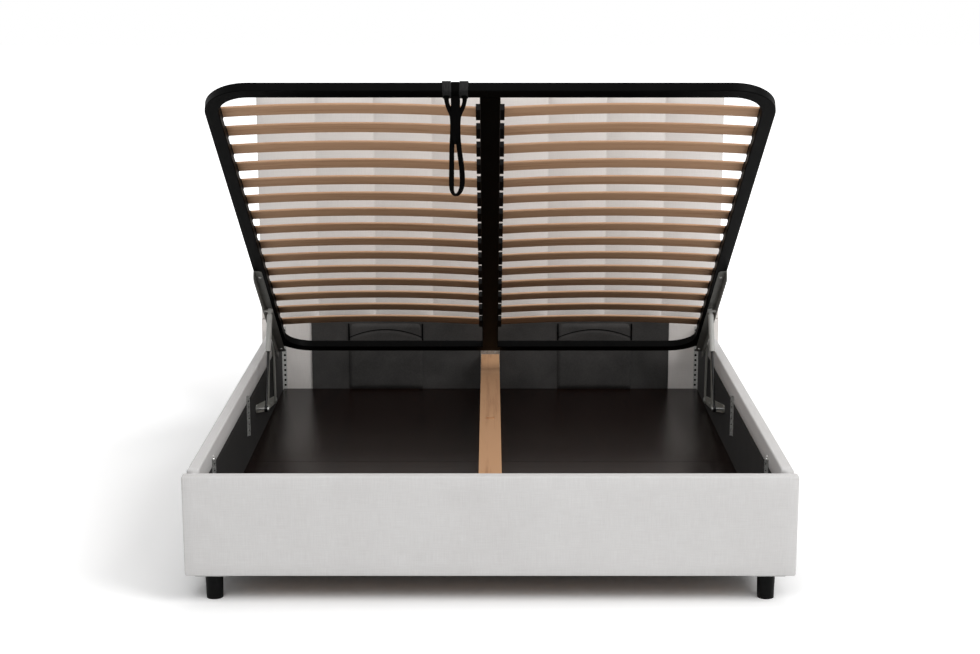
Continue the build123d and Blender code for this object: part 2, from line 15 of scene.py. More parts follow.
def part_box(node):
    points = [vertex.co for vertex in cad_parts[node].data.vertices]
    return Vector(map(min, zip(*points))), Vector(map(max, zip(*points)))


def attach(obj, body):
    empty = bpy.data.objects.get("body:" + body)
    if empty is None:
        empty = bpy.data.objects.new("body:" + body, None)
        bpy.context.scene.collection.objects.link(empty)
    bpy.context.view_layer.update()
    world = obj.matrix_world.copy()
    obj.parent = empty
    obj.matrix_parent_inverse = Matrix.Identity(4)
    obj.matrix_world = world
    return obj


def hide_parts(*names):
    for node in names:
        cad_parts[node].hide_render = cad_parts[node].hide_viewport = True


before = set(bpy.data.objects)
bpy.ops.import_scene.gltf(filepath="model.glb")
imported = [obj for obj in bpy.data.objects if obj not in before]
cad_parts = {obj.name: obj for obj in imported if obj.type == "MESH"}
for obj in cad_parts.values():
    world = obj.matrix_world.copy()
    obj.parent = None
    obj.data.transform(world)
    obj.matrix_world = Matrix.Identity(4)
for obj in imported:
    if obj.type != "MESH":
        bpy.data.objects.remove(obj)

LOG = logging.getLogger("ottoman_bed")
MM = 0.001
TOUCH = 1e-5

BMesh = bmesh.types.BMesh
Piece = bpy.types.Object
Material = bpy.types.Material
Seat = tuple[Vector, Vector]


class Side(Enum):
    """Which side of the bed a piece is on, as the sign of its X."""

    RIGHT = 1
    LEFT = -1


class Body(Enum):
    """The moving bodies that a new piece can ride on."""

    BASE = "base"
    PLATFORM = "platform"
    STRAP = "strap"


class Grain(Enum):
    """The axis that a timber's grain runs along."""

    ACROSS = "x"
    ALONG = "y"


# Node materials


def linear(code: str) -> tuple[float, float, float]:
    """Turns an sRGB code such as "cccbca" into linear RGB."""
    parts = [int(code[place:place + 2], 16) / 255 for place in (0, 2, 4)]
    return tuple(part / 12.92 if part <= 0.04045 else ((part + 0.055) / 1.055) ** 2.4 for part in parts)


class NodeTree:
    """Builds a node tree from plain calls."""

    def __init__(self, owner: Any) -> None:
        """Empties a tree.

        Args:
            owner: The material or the world that has it.
        """
        owner.use_nodes = True
        self.tree = owner.node_tree
        self.tree.nodes.clear()

    def plug(self, socket: Any, value: Any) -> None:
        """Links a socket to an input, or writes a plain value on it.

        Args:
            socket: The input socket.
            value: An output socket, a number or a tuple.
        """
        if isinstance(value, bpy.types.NodeSocket):
            self.tree.links.new(value, socket)
        else:
            socket.default_value = value

    def add(self, kind: str, inputs: Optional[dict[Any, Any]] = None, **settings: Any) -> bpy.types.Node:
        """Adds a node.

        Args:
            kind: The node's type, without its ShaderNode prefix.
            inputs: Values or links for its inputs, by name or number.
            **settings: Attributes set on the node.

        Returns:
            The new node.
        """
        node = self.tree.nodes.new("ShaderNode" + kind)
        for name, value in settings.items():
            setattr(node, name, value)
        for name, value in (inputs or {}).items():
            self.plug(node.inputs[name], value)
        return node

    def work(self, operation: str, first: Any, second: Any = 0.0) -> Any:
        """One sum on two numbers or sockets."""
        return self.add("Math", {0: first, 1: second}, operation=operation).outputs[0]

    def between(self, factor: Any, low: float, high: float) -> Any:
        """A number that goes from low to high with a factor."""
        return self.add("MapRange", {0: factor, 3: low, 4: high}).outputs[0]


class Recipe(NodeTree):
    """The nodes of one material."""

    def __init__(self, name: str) -> None:
        """Starts a material with a shader and an output.

        Args:
            name: The material's name.
        """
        self.material = bpy.data.materials.new(name)
        super().__init__(self.material)
        self.shader = self.add("BsdfPrincipled")
        self.output = self.add("OutputMaterial", {"Surface": self.shader.outputs["BSDF"]})

    def place(self, source: str, scale: Sequence[float] = (1, 1, 1), turn: float = 0.0) -> Any:
        """Coordinates of the piece, scaled for a pattern.

        Args:
            source: "Object" or "UV".
            scale: Repeats per metre on each axis.
            turn: Rotation of the pattern about Z in degrees.

        Returns:
            The vector socket.
        """
        where = self.add("TexCoord").outputs[source]
        inputs = {"Vector": where, "Scale": tuple(scale), "Rotation": (0, 0, math.radians(turn))}
        return self.add("Mapping", inputs).outputs[0]

    def threads(self, per_metre: float, turn: float = 0.0) -> tuple[Any, Any]:
        """Phases of two crossing sets of threads, laid on the piece's UV map.

        Args:
            per_metre: How many threads lie in a metre.
            turn: Rotation of the weave in degrees.

        Returns:
            The phase across and the phase along, in radians.
        """
        pitch = per_metre * math.pi
        axes = self.add("SeparateXYZ", {0: self.place("UV", (pitch, pitch, 1), turn)})
        return axes.outputs[0], axes.outputs[1]

    def speckle(self, vector: Any, scale: float = 1.0, detail: float = 3.0, rough: float = 0.55) -> Any:
        """Soft noise between 0 and 1 on a vector."""
        inputs = {"Vector": vector, "Scale": scale, "Detail": detail, "Roughness": rough}
        return self.add("TexNoise", inputs).outputs["Fac"]

    def total(self, *shares: tuple[Any, float]) -> Any:
        """Adds sockets up, each of them times its own number.

        Args:
            *shares: Pairs of socket and number.

        Returns:
            The sum's socket.
        """
        whole, *rest = [self.work("MULTIPLY", socket, number) for socket, number in shares]
        for part in rest:
            whole = self.work("ADD", whole, part)
        return whole

    def ramp(self, factor: Any, *stops: tuple[float, str]) -> Any:
        """Colours along a factor.

        Args:
            factor: The socket that chooses the colour.
            *stops: Pairs of place and sRGB code.

        Returns:
            The colour socket.
        """
        node = self.add("ValToRGB", {"Fac": factor})
        bar = node.color_ramp
        while len(bar.elements) < len(stops):
            bar.elements.new(0.5)
        for element, (place, code) in zip(bar.elements, stops):
            element.position = place
            element.color = (*linear(code), 1.0)
        return node.outputs["Color"]

    def bump(self, height: Any, strength: float, depth: float, normal: Any = None) -> Any:
        """Surface relief from a height.

        Args:
            height: The height socket.
            strength: How much of the relief shows.
            depth: The relief's depth in metres.
            normal: A relief to add to.

        Returns:
            The normal socket.
        """
        inputs = {"Height": height, "Strength": strength, "Distance": depth}
        if normal is not None:
            inputs["Normal"] = normal
        return self.add("Bump", inputs).outputs["Normal"]

    def finish(self, **sockets: Any) -> Material:
        """Sets the shader's sockets.

        Args:
            **sockets: Values or links by the socket's name, with underscores for spaces.

        Returns:
            The material.
        """
        for name, value in sockets.items():
            self.plug(self.shader.inputs[name.replace("_", " ")], value)
        return self.material


@dataclass(frozen=True)
class WovenCover:
    """Light woven upholstery with slubs in both threads."""

    name: str = "woven_cover"
    light: str = "d5d4d3"
    dark: str = "c9c7c6"
    threads_per_metre: float = 520.0
    slub_run: float = 18.0
    slub_pitch: float = 420.0
    roughness: float = 0.92

    def build(self) -> Material:
        """Builds the cover's nodes.

        Returns:
            The material.
        """
        recipe = Recipe(self.name)
        warp, weft = recipe.threads(self.threads_per_metre)
        weave = recipe.work("MULTIPLY", recipe.work("SINE", warp), recipe.work("SINE", weft))
        slubs = recipe.total(*(
            (recipe.speckle(recipe.place("UV", scale), detail=4.0, rough=0.6), 0.5)
            for scale in ((self.slub_run, self.slub_pitch, 1), (self.slub_pitch, self.slub_run, 1))
        ))
        cloud = recipe.speckle(recipe.place("Object"), scale=5.0, detail=5.0, rough=0.6)
        tone = recipe.total((slubs, 0.75), (cloud, 0.3))
        threads = recipe.bump(recipe.total((weave, 0.35), (slubs, 1.0)), strength=0.45, depth=0.6 * MM)
        return recipe.finish(
            Base_Color=recipe.ramp(tone, (0.38, self.dark), (0.66, self.light)), Roughness=self.roughness,
            Sheen_Weight=0.15, Sheen_Roughness=0.5,
            Normal=recipe.bump(cloud, strength=0.12, depth=4 * MM, normal=threads),
        )


@dataclass(frozen=True)
class BondedLining:
    """Dark bonded lining cloth with a fine embossed dot."""

    name: str = "rail_lining_cloth"
    light: str = "1b1a19"
    dark: str = "0e0d0d"
    dots_per_metre: float = 420.0
    roughness: float = 0.8

    def build(self) -> Material:
        """Builds the lining's nodes.

        Returns:
            The material.
        """
        recipe = Recipe(self.name)
        first, second = recipe.threads(self.dots_per_metre, 45)
        emboss = recipe.work("MULTIPLY", recipe.work("SINE", first), recipe.work("SINE", second))
        fibre = recipe.speckle(recipe.place("Object"), scale=160.0, detail=5.0, rough=0.7)
        cloud = recipe.speckle(recipe.place("Object"), scale=7.0, detail=3.0)
        tone = recipe.total((fibre, 0.4), (cloud, 0.6))
        dots = recipe.bump(emboss, strength=0.25, depth=0.3 * MM)
        return recipe.finish(
            Base_Color=recipe.ramp(tone, (0.3, self.dark), (0.7, self.light)), Roughness=self.roughness,
            Specular_IOR_Level=0.25, Sheen_Weight=0.02,
            Normal=recipe.bump(cloud, strength=0.3, depth=4 * MM, normal=dots),
        )


@dataclass(frozen=True)
class Timber:
    """Sawn or peeled wood whose grain runs along one axis."""

    name: str
    grain: Grain
    light: str
    dark: str
    rings: float
    roughness: float
    gloss: float = 0.0
    knots: bool = False
    knot_colour: str = "5a3520"

    def stretched(self, recipe: Recipe, along: float, across: float) -> Any:
        """Coordinates for a pattern drawn out along the grain."""
        scale = (along, across, across) if self.grain is Grain.ACROSS else (across, along, across)
        return recipe.place("Object", scale)

    def build(self) -> Material:
        """Builds the timber's nodes.

        Returns:
            The material.
        """
        recipe = Recipe(self.name)
        streaks = recipe.speckle(self.stretched(recipe, 1.6, self.rings), detail=6.0, rough=0.62)
        fine = recipe.speckle(self.stretched(recipe, 12.0, 900.0), detail=3.0, rough=0.6)
        broad = recipe.speckle(self.stretched(recipe, 0.8, 9.0), detail=3.0, rough=0.5)
        tone = recipe.total((streaks, 0.6), (fine, 0.2), (broad, 0.25))
        colour = recipe.ramp(tone, (0.34, self.dark), (0.52, self.light), (0.74, self.light))
        if self.knots:
            cells = recipe.add("TexVoronoi", {"Vector": self.stretched(recipe, 2.1, 7.0), "Scale": 1.0})
            knot = recipe.ramp(cells.outputs["Distance"], (0.05, "ffffff"), (0.13, "000000"))
            inputs = {"Fac": knot, "Color1": colour, "Color2": (*linear(self.knot_colour), 1)}
            colour = recipe.add("MixRGB", inputs).outputs["Color"]
        return recipe.finish(
            Base_Color=colour, Roughness=self.roughness, Specular_IOR_Level=0.2, Coat_Weight=self.gloss,
            Coat_Roughness=0.2,
            Normal=recipe.bump(recipe.work("ADD", streaks, fine), strength=0.25, depth=0.6 * MM),
        )


@dataclass(frozen=True)
class CoatedSteel:
    """Powder coated or painted steel with a fine orange peel."""

    name: str
    colour: str
    worn: str
    roughness: float
    peel: float = 0.25
    shine: float = 0.2

    def build(self) -> Material:
        """Builds the coating's nodes.

        Returns:
            The material.
        """
        recipe = Recipe(self.name)
        place = recipe.place("Object")
        dust = recipe.speckle(place, scale=14.0, detail=5.0, rough=0.65)
        peel = recipe.speckle(place, scale=900.0, detail=2.0)
        return recipe.finish(
            Base_Color=recipe.ramp(dust, (0.35, self.colour), (0.75, self.worn)),
            Roughness=recipe.between(dust, self.roughness - 0.06, self.roughness + 0.08),
            Specular_IOR_Level=self.shine,
            Normal=recipe.bump(peel, strength=self.peel, depth=0.2 * MM),
        )


@dataclass(frozen=True)
class PlatedSteel:
    """Bright zinc plated steel with a faint spangle."""

    name: str = "bright_zinc"
    light: str = "aeaeab"
    dark: str = "8c8d8b"
    roughness: float = 0.3
    metal: float = 0.9

    def build(self) -> Material:
        """Builds the plating's nodes.

        Returns:
            The material.
        """
        recipe = Recipe(self.name)
        place = recipe.place("Object")
        spangle = recipe.add("TexVoronoi", {"Vector": place, "Scale": 420.0}).outputs["Color"]
        grey = recipe.add("RGBToBW", {0: spangle}).outputs[0]
        return recipe.finish(
            Base_Color=recipe.ramp(grey, (0.2, self.dark), (0.8, self.light)), Metallic=self.metal,
            Roughness=recipe.between(grey, self.roughness, self.roughness + 0.15),
            Normal=recipe.bump(recipe.speckle(place, scale=400.0), strength=0.1, depth=0.2 * MM),
        )


@dataclass(frozen=True)
class MouldedPlastic:
    """Matt moulded plastic with a spark eroded skin."""

    name: str
    colour: str
    worn: str
    roughness: float = 0.5
    shine: float = 0.1

    def build(self) -> Material:
        """Builds the plastic's nodes.

        Returns:
            The material.
        """
        recipe = Recipe(self.name)
        place = recipe.place("Object")
        scuff = recipe.speckle(place, scale=30.0, detail=6.0, rough=0.7)
        return recipe.finish(
            Base_Color=recipe.ramp(scuff, (0.4, self.colour), (0.8, self.worn)), Roughness=self.roughness,
            Specular_IOR_Level=self.shine,
            Normal=recipe.bump(recipe.speckle(place, scale=1400.0, detail=2.0), strength=0.2, depth=0.1 * MM),
        )


@dataclass(frozen=True)
class Webbing:
    """Black woven webbing with ribs across its width."""

    # These default colours are a lighter copy of the black strap webbing. The difference is painted light on
    # the bands over the foot bar.
    name: str = "black_webbing"
    light: str = "262526"
    dark: str = "0e0e0e"
    ribs_per_metre: float = 900.0
    shine: float = 0.15
    sheen: float = 0.03

    def build(self) -> Material:
        """Builds the webbing's nodes.

        Returns:
            The material.
        """
        recipe = Recipe(self.name)
        across, along = recipe.threads(self.ribs_per_metre)
        yarn = recipe.work("SINE", recipe.work("MULTIPLY", across, 0.6))
        height = recipe.total((recipe.work("SINE", along), 0.6), (yarn, 0.5))
        fibre = recipe.speckle(recipe.place("UV", (300, 60, 1)), detail=4.0, rough=0.6)
        return recipe.finish(
            Base_Color=recipe.ramp(fibre, (0.35, self.dark), (0.7, self.light)), Roughness=0.75,
            Specular_IOR_Level=self.shine, Sheen_Weight=self.sheen,
            Normal=recipe.bump(height, strength=0.4, depth=0.4 * MM),
        )


class Finish(Enum):
    """Every finish of the bed."""

    COVER = WovenCover()
    # The headboard's cover is a lighter, warmer copy of the woven cover. The difference is painted light: the
    # warm bounce that falls on the headboard.
    HEAD_COVER = WovenCover("headboard_cover", "e6e1dd", "dad5d1")
    LINING = BondedLining()
    # The head panel and its pockets use a lighter copy of the dark lining. The difference is painted light on
    # a panel that the lamps barely reach.
    HEAD_LINING = BondedLining("head_lining_cloth", "444241", "2a2928")
    SEAM = Webbing("lining_tape", "040404", "010101", shine=0.03, sheen=0.0)
    # The wraps' webbing is a greyer copy of the black strap webbing. The difference is painted light on the
    # bands over the bar.
    WEBBING = Webbing()
    BLACK_WEBBING = Webbing("black_strap_webbing", "060505", "010101", shine=0.03, sheen=0.0)
    BEECH = Timber("beech_slat", Grain.ACROSS, "bb9576", "9a7151", rings=90.0, roughness=0.5, gloss=0.1)
    PINE = Timber("planed_pine", Grain.ALONG, "bd936f", "95694a", rings=45.0, roughness=0.6, knots=True)
    BOARD = Timber("dark_floor_board", Grain.ALONG, "150b08", "070303", rings=26.0, roughness=0.24)
    RAW_BOARD = Timber("raw_board", Grain.ACROSS, "c8a87f", "a98860", rings=70.0, roughness=0.7)
    FRAME_BLACK = CoatedSteel("black_powder_coat", "010101", "040404", roughness=0.42, shine=0.04)
    BRACKET_GREY = CoatedSteel("grey_powder_coat", "7c7c78", "8a8a85", roughness=0.5)
    LINK_GREY = CoatedSteel("pale_link_grey", "8e8e89", "9d9d97", roughness=0.45)
    CYLINDER_GREY = CoatedSteel("pale_grey_paint", "b4b4b0", "a6a6a2", roughness=0.35, peel=0.1)
    ROD_BLACK = CoatedSteel("black_rod", "101010", "1c1c1c", roughness=0.25, peel=0.05)
    ZINC = PlatedSteel()
    HEAD_STRIP = PlatedSteel("galvanised_head_strip", "cfcfcc", "aeaeab", roughness=0.4, metal=0.2)
    RAIL_STRIP = PlatedSteel("galvanised_rail_strip", "b4b4b1", "7e7e7c", roughness=0.35, metal=0.3)
    # Near white bolt heads: a painted highlight on zinc plated steel.
    BRIGHT_BOLT = PlatedSteel("bright_bolt", "f2f2ef", "dededb", roughness=0.18, metal=0.6)
    LEG = MouldedPlastic("black_leg", "050505", "0d0d0d", roughness=0.42)
    HOLDER = MouldedPlastic("black_holder", "060505", "0d0c0c")


@cache
def material_of(finish: Finish) -> Material:
    """Returns a finish's material, which is built once."""
    return finish.value.build()


# Mesh helpers


def corners(node: str) -> tuple[Vector, Vector]:
    """Returns the lowest and the highest corner of a node's box."""
    low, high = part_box(node)
    return Vector(low), Vector(high)


def add_object(name: str, data: Any) -> Piece:
    """Puts an object into the scene.

    Args:
        name: The object's name.
        data: Its mesh, light or camera.

    Returns:
        The object.
    """
    made = bpy.data.objects.new(name, data)
    bpy.context.scene.collection.objects.link(made)
    return made


def box_uv(bm: BMesh) -> None:
    """Lays out a flat UV in metres on each face, seen along its main direction.

    Args:
        bm: The mesh.
    """
    layer = bm.loops.layers.uv.verify()
    for face in bm.faces:
        normal = [abs(part) for part in face.normal]
        main = normal.index(max(normal))
        first, second = [axis for axis in (0, 1, 2) if axis != main]
        for loop in face.loops:
            loop[layer].uv = (loop.vert.co[first], loop.vert.co[second])


def publish(
    name: str, bm: BMesh, finish: Finish, body: Body, replaces: Sequence[str] = (),
    flat_uv: bool = True,
) -> Piece:
    """Writes a mesh to an object that rides on a body.

    Args:
        name: The piece's name.
        bm: The closed mesh, in metres and in place; it is freed.
        finish: The piece's finish.
        body: The body that it rides on.
        replaces: The nodes that it stands for.
        flat_uv: Whether it gets the UV of box_uv.

    Returns:
        The new object.
    """
    bmesh.ops.recalc_face_normals(bm, faces=bm.faces)
    bm.normal_update()
    if flat_uv:
        box_uv(bm)
    for face in bm.faces:
        face.smooth = True
    mesh = bpy.data.meshes.new(name)
    bm.to_mesh(mesh)
    bm.free()
    piece = add_object(name, mesh)
    mesh.materials.append(material_of(finish))
    if replaces:
        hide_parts(*replaces)
    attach(piece, body.value)
    return piece


def solid_box(low: Vector, high: Vector) -> BMesh:
    """A box between two corners.

    Args:
        low: The lowest corner.
        high: The highest corner.

    Returns:
        The box's mesh.
    """
    bm = bmesh.new()
    bmesh.ops.create_cube(bm, size=1.0)
    bmesh.ops.scale(bm, vec=high - low, verts=bm.verts)
    bmesh.ops.translate(bm, vec=(high + low) / 2, verts=bm.verts)
    return bm


def unit_sheet(columns: int, rows: int) -> BMesh:
    """A flat sheet, one metre square about the origin.

    Args:
        columns: Faces along X.
        rows: Faces along Y.

    Returns:
        The sheet's mesh.
    """
    bm = bmesh.new()
    bmesh.ops.create_grid(bm, x_segments=columns, y_segments=rows, size=0.5)
    return bm


def thicken_sheet(bm: BMesh, axis: int, sign: float, thickness: float) -> None:
    """Turns a sheet's faces to one side and gives it a thickness.

    Args:
        bm: The open sheet.
        axis: The axis that it faces along.
        sign: Which way it faces on that axis.
        thickness: The wall, which grows behind the faces where it is positive.
    """
    faces = list(bm.faces)
    bmesh.ops.recalc_face_normals(bm, faces=faces)
    if faces[0].normal[axis] * sign < 0:
        bmesh.ops.reverse_faces(bm, faces=faces)
    bmesh.ops.solidify(bm, geom=faces, thickness=thickness)


def edges_where(bm: BMesh, test: Callable[[Vector], bool]) -> list[bmesh.types.BMEdge]:
    """Edges whose ends both pass a test."""
    return [edge for edge in bm.edges if all(test(vert.co) for vert in edge.verts)]


def edges_along(bm: BMesh, axis: int) -> list[bmesh.types.BMEdge]:
    """Edges that run along an axis."""
    return [edge for edge in bm.edges if abs((edge.verts[0].co - edge.verts[1].co).normalized()[axis]) > 0.9]


def round_edges(bm: BMesh, edges: Iterable[bmesh.types.BMEdge], radius: float, steps: int) -> None:
    """Rounds edges of a mesh.

    Args:
        bm: The mesh.
        edges: The edges.
        radius: How far the rounding reaches.
        steps: How many faces it has.
    """
    bmesh.ops.bevel(
        bm, geom=list(edges), offset=radius, offset_type="OFFSET", segments=steps, profile=0.5,
        affect="EDGES", material=-1, clamp_overlap=True,
    )


def slice_along(bm: BMesh, axis: int, places: Iterable[float]) -> None:
    """Cuts a mesh across an axis at each place.

    Args:
        bm: The mesh.
        axis: 0, 1 or 2.
        places: Where it is cut.
    """
    normal = Vector((0, 0, 0))
    normal[axis] = 1.0
    for place in places:
        geometry = list(bm.verts) + list(bm.edges) + list(bm.faces)
        bmesh.ops.bisect_plane(bm, geom=geometry, dist=1e-6, plane_co=normal * place, plane_no=normal)


def merge_into(whole: BMesh, part: BMesh) -> None:
    """Adds a mesh to another and frees it.

    Args:
        whole: The mesh that grows.
        part: The mesh that is added.
    """
    mesh = bpy.data.meshes.new("part")
    part.to_mesh(mesh)
    part.free()
    whole.from_mesh(mesh)
    bpy.data.meshes.remove(mesh)


def spread(low: float, high: float, step: float) -> list[float]:
    """Even places between two ends, about one step apart and without the ends."""
    count = max(1, round((high - low) / step))
    return [low + (high - low) * index / count for index in range(1, count)]


def swell(place: float, low: float = 0.0, high: float = 1.0) -> float:
    """A smooth hump that is 0 at both ends of a span and 1 in its middle."""
    share = 2 * (place - low) / (high - low) - 1
    return max(0.0, 1 - share * share)


def ripple(place: Vector, scale: float, seed: float) -> float:
    """Smooth noise between -1 and 1 at a place."""
    return noise.noise(place * scale + Vector((seed, seed * 1.7, seed * 0.3)))


# Upholstery


@dataclass
class PaddedBoard:
    """A base board with its cover, turned in over the top, and the lining inside.

    It runs along one axis, 0 or 1, and inwards is the sign of that direction on the other.
    """

    name: str
    cover_node: str
    lining_node: str
    along: int
    inwards: int
    flap_depth: float = 62 * MM
    hem_half: float = 0.8 * MM
    edge_round: float = 6 * MM
    crown: float = 1.5 * MM
    slack: float = 0.6 * MM
    top_slack: float = 0.5 * MM
    end_turn: float = 0.5 * MM
    grid: float = 34 * MM
    lining_step: float = 1.4 * MM
    lining_thickness: float = 0.8 * MM
    lining_gap: float = 0.4 * MM
    lining_inset: float = 0.0
    lining_grid: float = 50 * MM

    def build(self) -> list[Piece]:
        """Builds the cover and its lining."""
        return [self.build_cover(), self.build_lining()]

    def build_cover(self) -> Piece:
        """Builds the cover as one closed, slightly crowned form.

        Returns:
            The cover.
        """
        low, high = corners(self.cover_node)
        along, through = self.along, 1 - self.along
        bm = solid_box(low, high)
        round_edges(bm, bm.edges if along == 0 else edges_along(bm, along), self.edge_round, steps=4)
        outer, inner = (low[through], high[through]) if self.inwards > 0 else (high[through], low[through])
        hem = high.z - self.flap_depth
        slice_along(bm, along, spread(low[along], high[along], self.grid))
        slice_along(bm, 2, spread(low.z + self.edge_round, high.z - self.edge_round, self.grid))
        slice_along(bm, 2, (hem - self.hem_half, hem + self.hem_half))
        for vert in bm.verts:
            place = vert.co.copy()
            if abs(place[through] - outer) < TOUCH:
                puff = swell(place[along], low[along], high[along]) ** 0.25
                puff *= swell(place.z, low.z, high.z) ** 0.5
                slack = self.slack * ripple(place, scale=9.0, seed=3.0)
                vert.co[through] += self.inwards * (slack - self.crown * puff)
            elif abs(place[through] - inner) < TOUCH and place.z < hem:
                vert.co[through] -= self.inwards * self.lining_step
            if place.z > high.z - TOUCH:
                vert.co.z += self.top_slack * (ripple(place, scale=14.0, seed=8.0) - 1)
            if along == 1 and place.y < low.y + TOUCH:
                vert.co.y -= self.end_turn
        name = f"{self.name}_upholstery"
        piece = publish(name, bm, Finish.COVER, Body.BASE, [self.cover_node])
        return piece

    def build_lining(self) -> Piece:
        """Builds the dark lining as one stretched sheet.

        Returns:
            The lining.
        """
        low, high = corners(self.lining_node)
        along, through = self.along, 1 - self.along
        low[along] += self.lining_inset
        high[along] -= self.lining_inset
        face = high[through] if self.inwards > 0 else low[through]
        length, height = high[along] - low[along], high.z - low.z
        bm = unit_sheet(columns=max(2, round(length / self.lining_grid)), rows=8)
        for vert in bm.verts:
            share_along, share_up = vert.co.x + 0.5, vert.co.y + 0.5
            place = Vector((0, 0, low.z + share_up * height))
            place[along] = low[along] + share_along * length
            slack = self.slack * swell(share_up) * swell(share_along) ** 0.5
            slack *= 1 + ripple(place, scale=6.0, seed=5.0)
            place[through] = face - self.inwards * (self.lining_gap + self.lining_thickness + slack)
            vert.co = place
        thicken_sheet(bm, through, self.inwards, -self.lining_thickness)
        name = f"{self.name}_lining_cloth"
        piece = publish(name, bm, Finish.LINING, Body.BASE, [self.lining_node])
        return piece


@dataclass
class FlatCover:
    """A flat board's cover, with rounded edges and a slight unevenness on the face that shows.

    The scale and the seed are those of the unevenness.
    """

    name: str
    node: str
    front: bool
    edge_round: float
    edge_steps: int
    grid: float
    slack: float
    scale: float
    seed: float
    finish: Finish = Finish.HEAD_COVER
    slot: str = "cover_fabric"
    fill: float = 0.9
    across_step: float = 60 * MM
    margin: float = 10 * MM

    def build(self) -> Piece:
        """Builds the cover.

        Returns:
            The cover.
        """
        low, high = corners(self.node)
        shown, inwards = (low.y, 1) if self.front else (high.y, -1)
        bm = solid_box(low, high)
        shown_edges = edges_where(bm, lambda place: abs(place.y - shown) < TOUCH)
        round_edges(bm, shown_edges, self.edge_round, self.edge_steps)
        slice_along(bm, 0, spread(low.x + self.margin, high.x - self.margin, self.across_step))
        slice_along(bm, 2, spread(low.z + self.margin, high.z - self.margin, self.grid))
        for vert in bm.verts:
            if abs(vert.co.y - shown) < TOUCH:
                vert.co.y += inwards * self.slack * (1 + ripple(vert.co, self.scale, self.seed))
        piece = publish(self.name, bm, self.finish, Body.BASE, [self.node])
        return piece


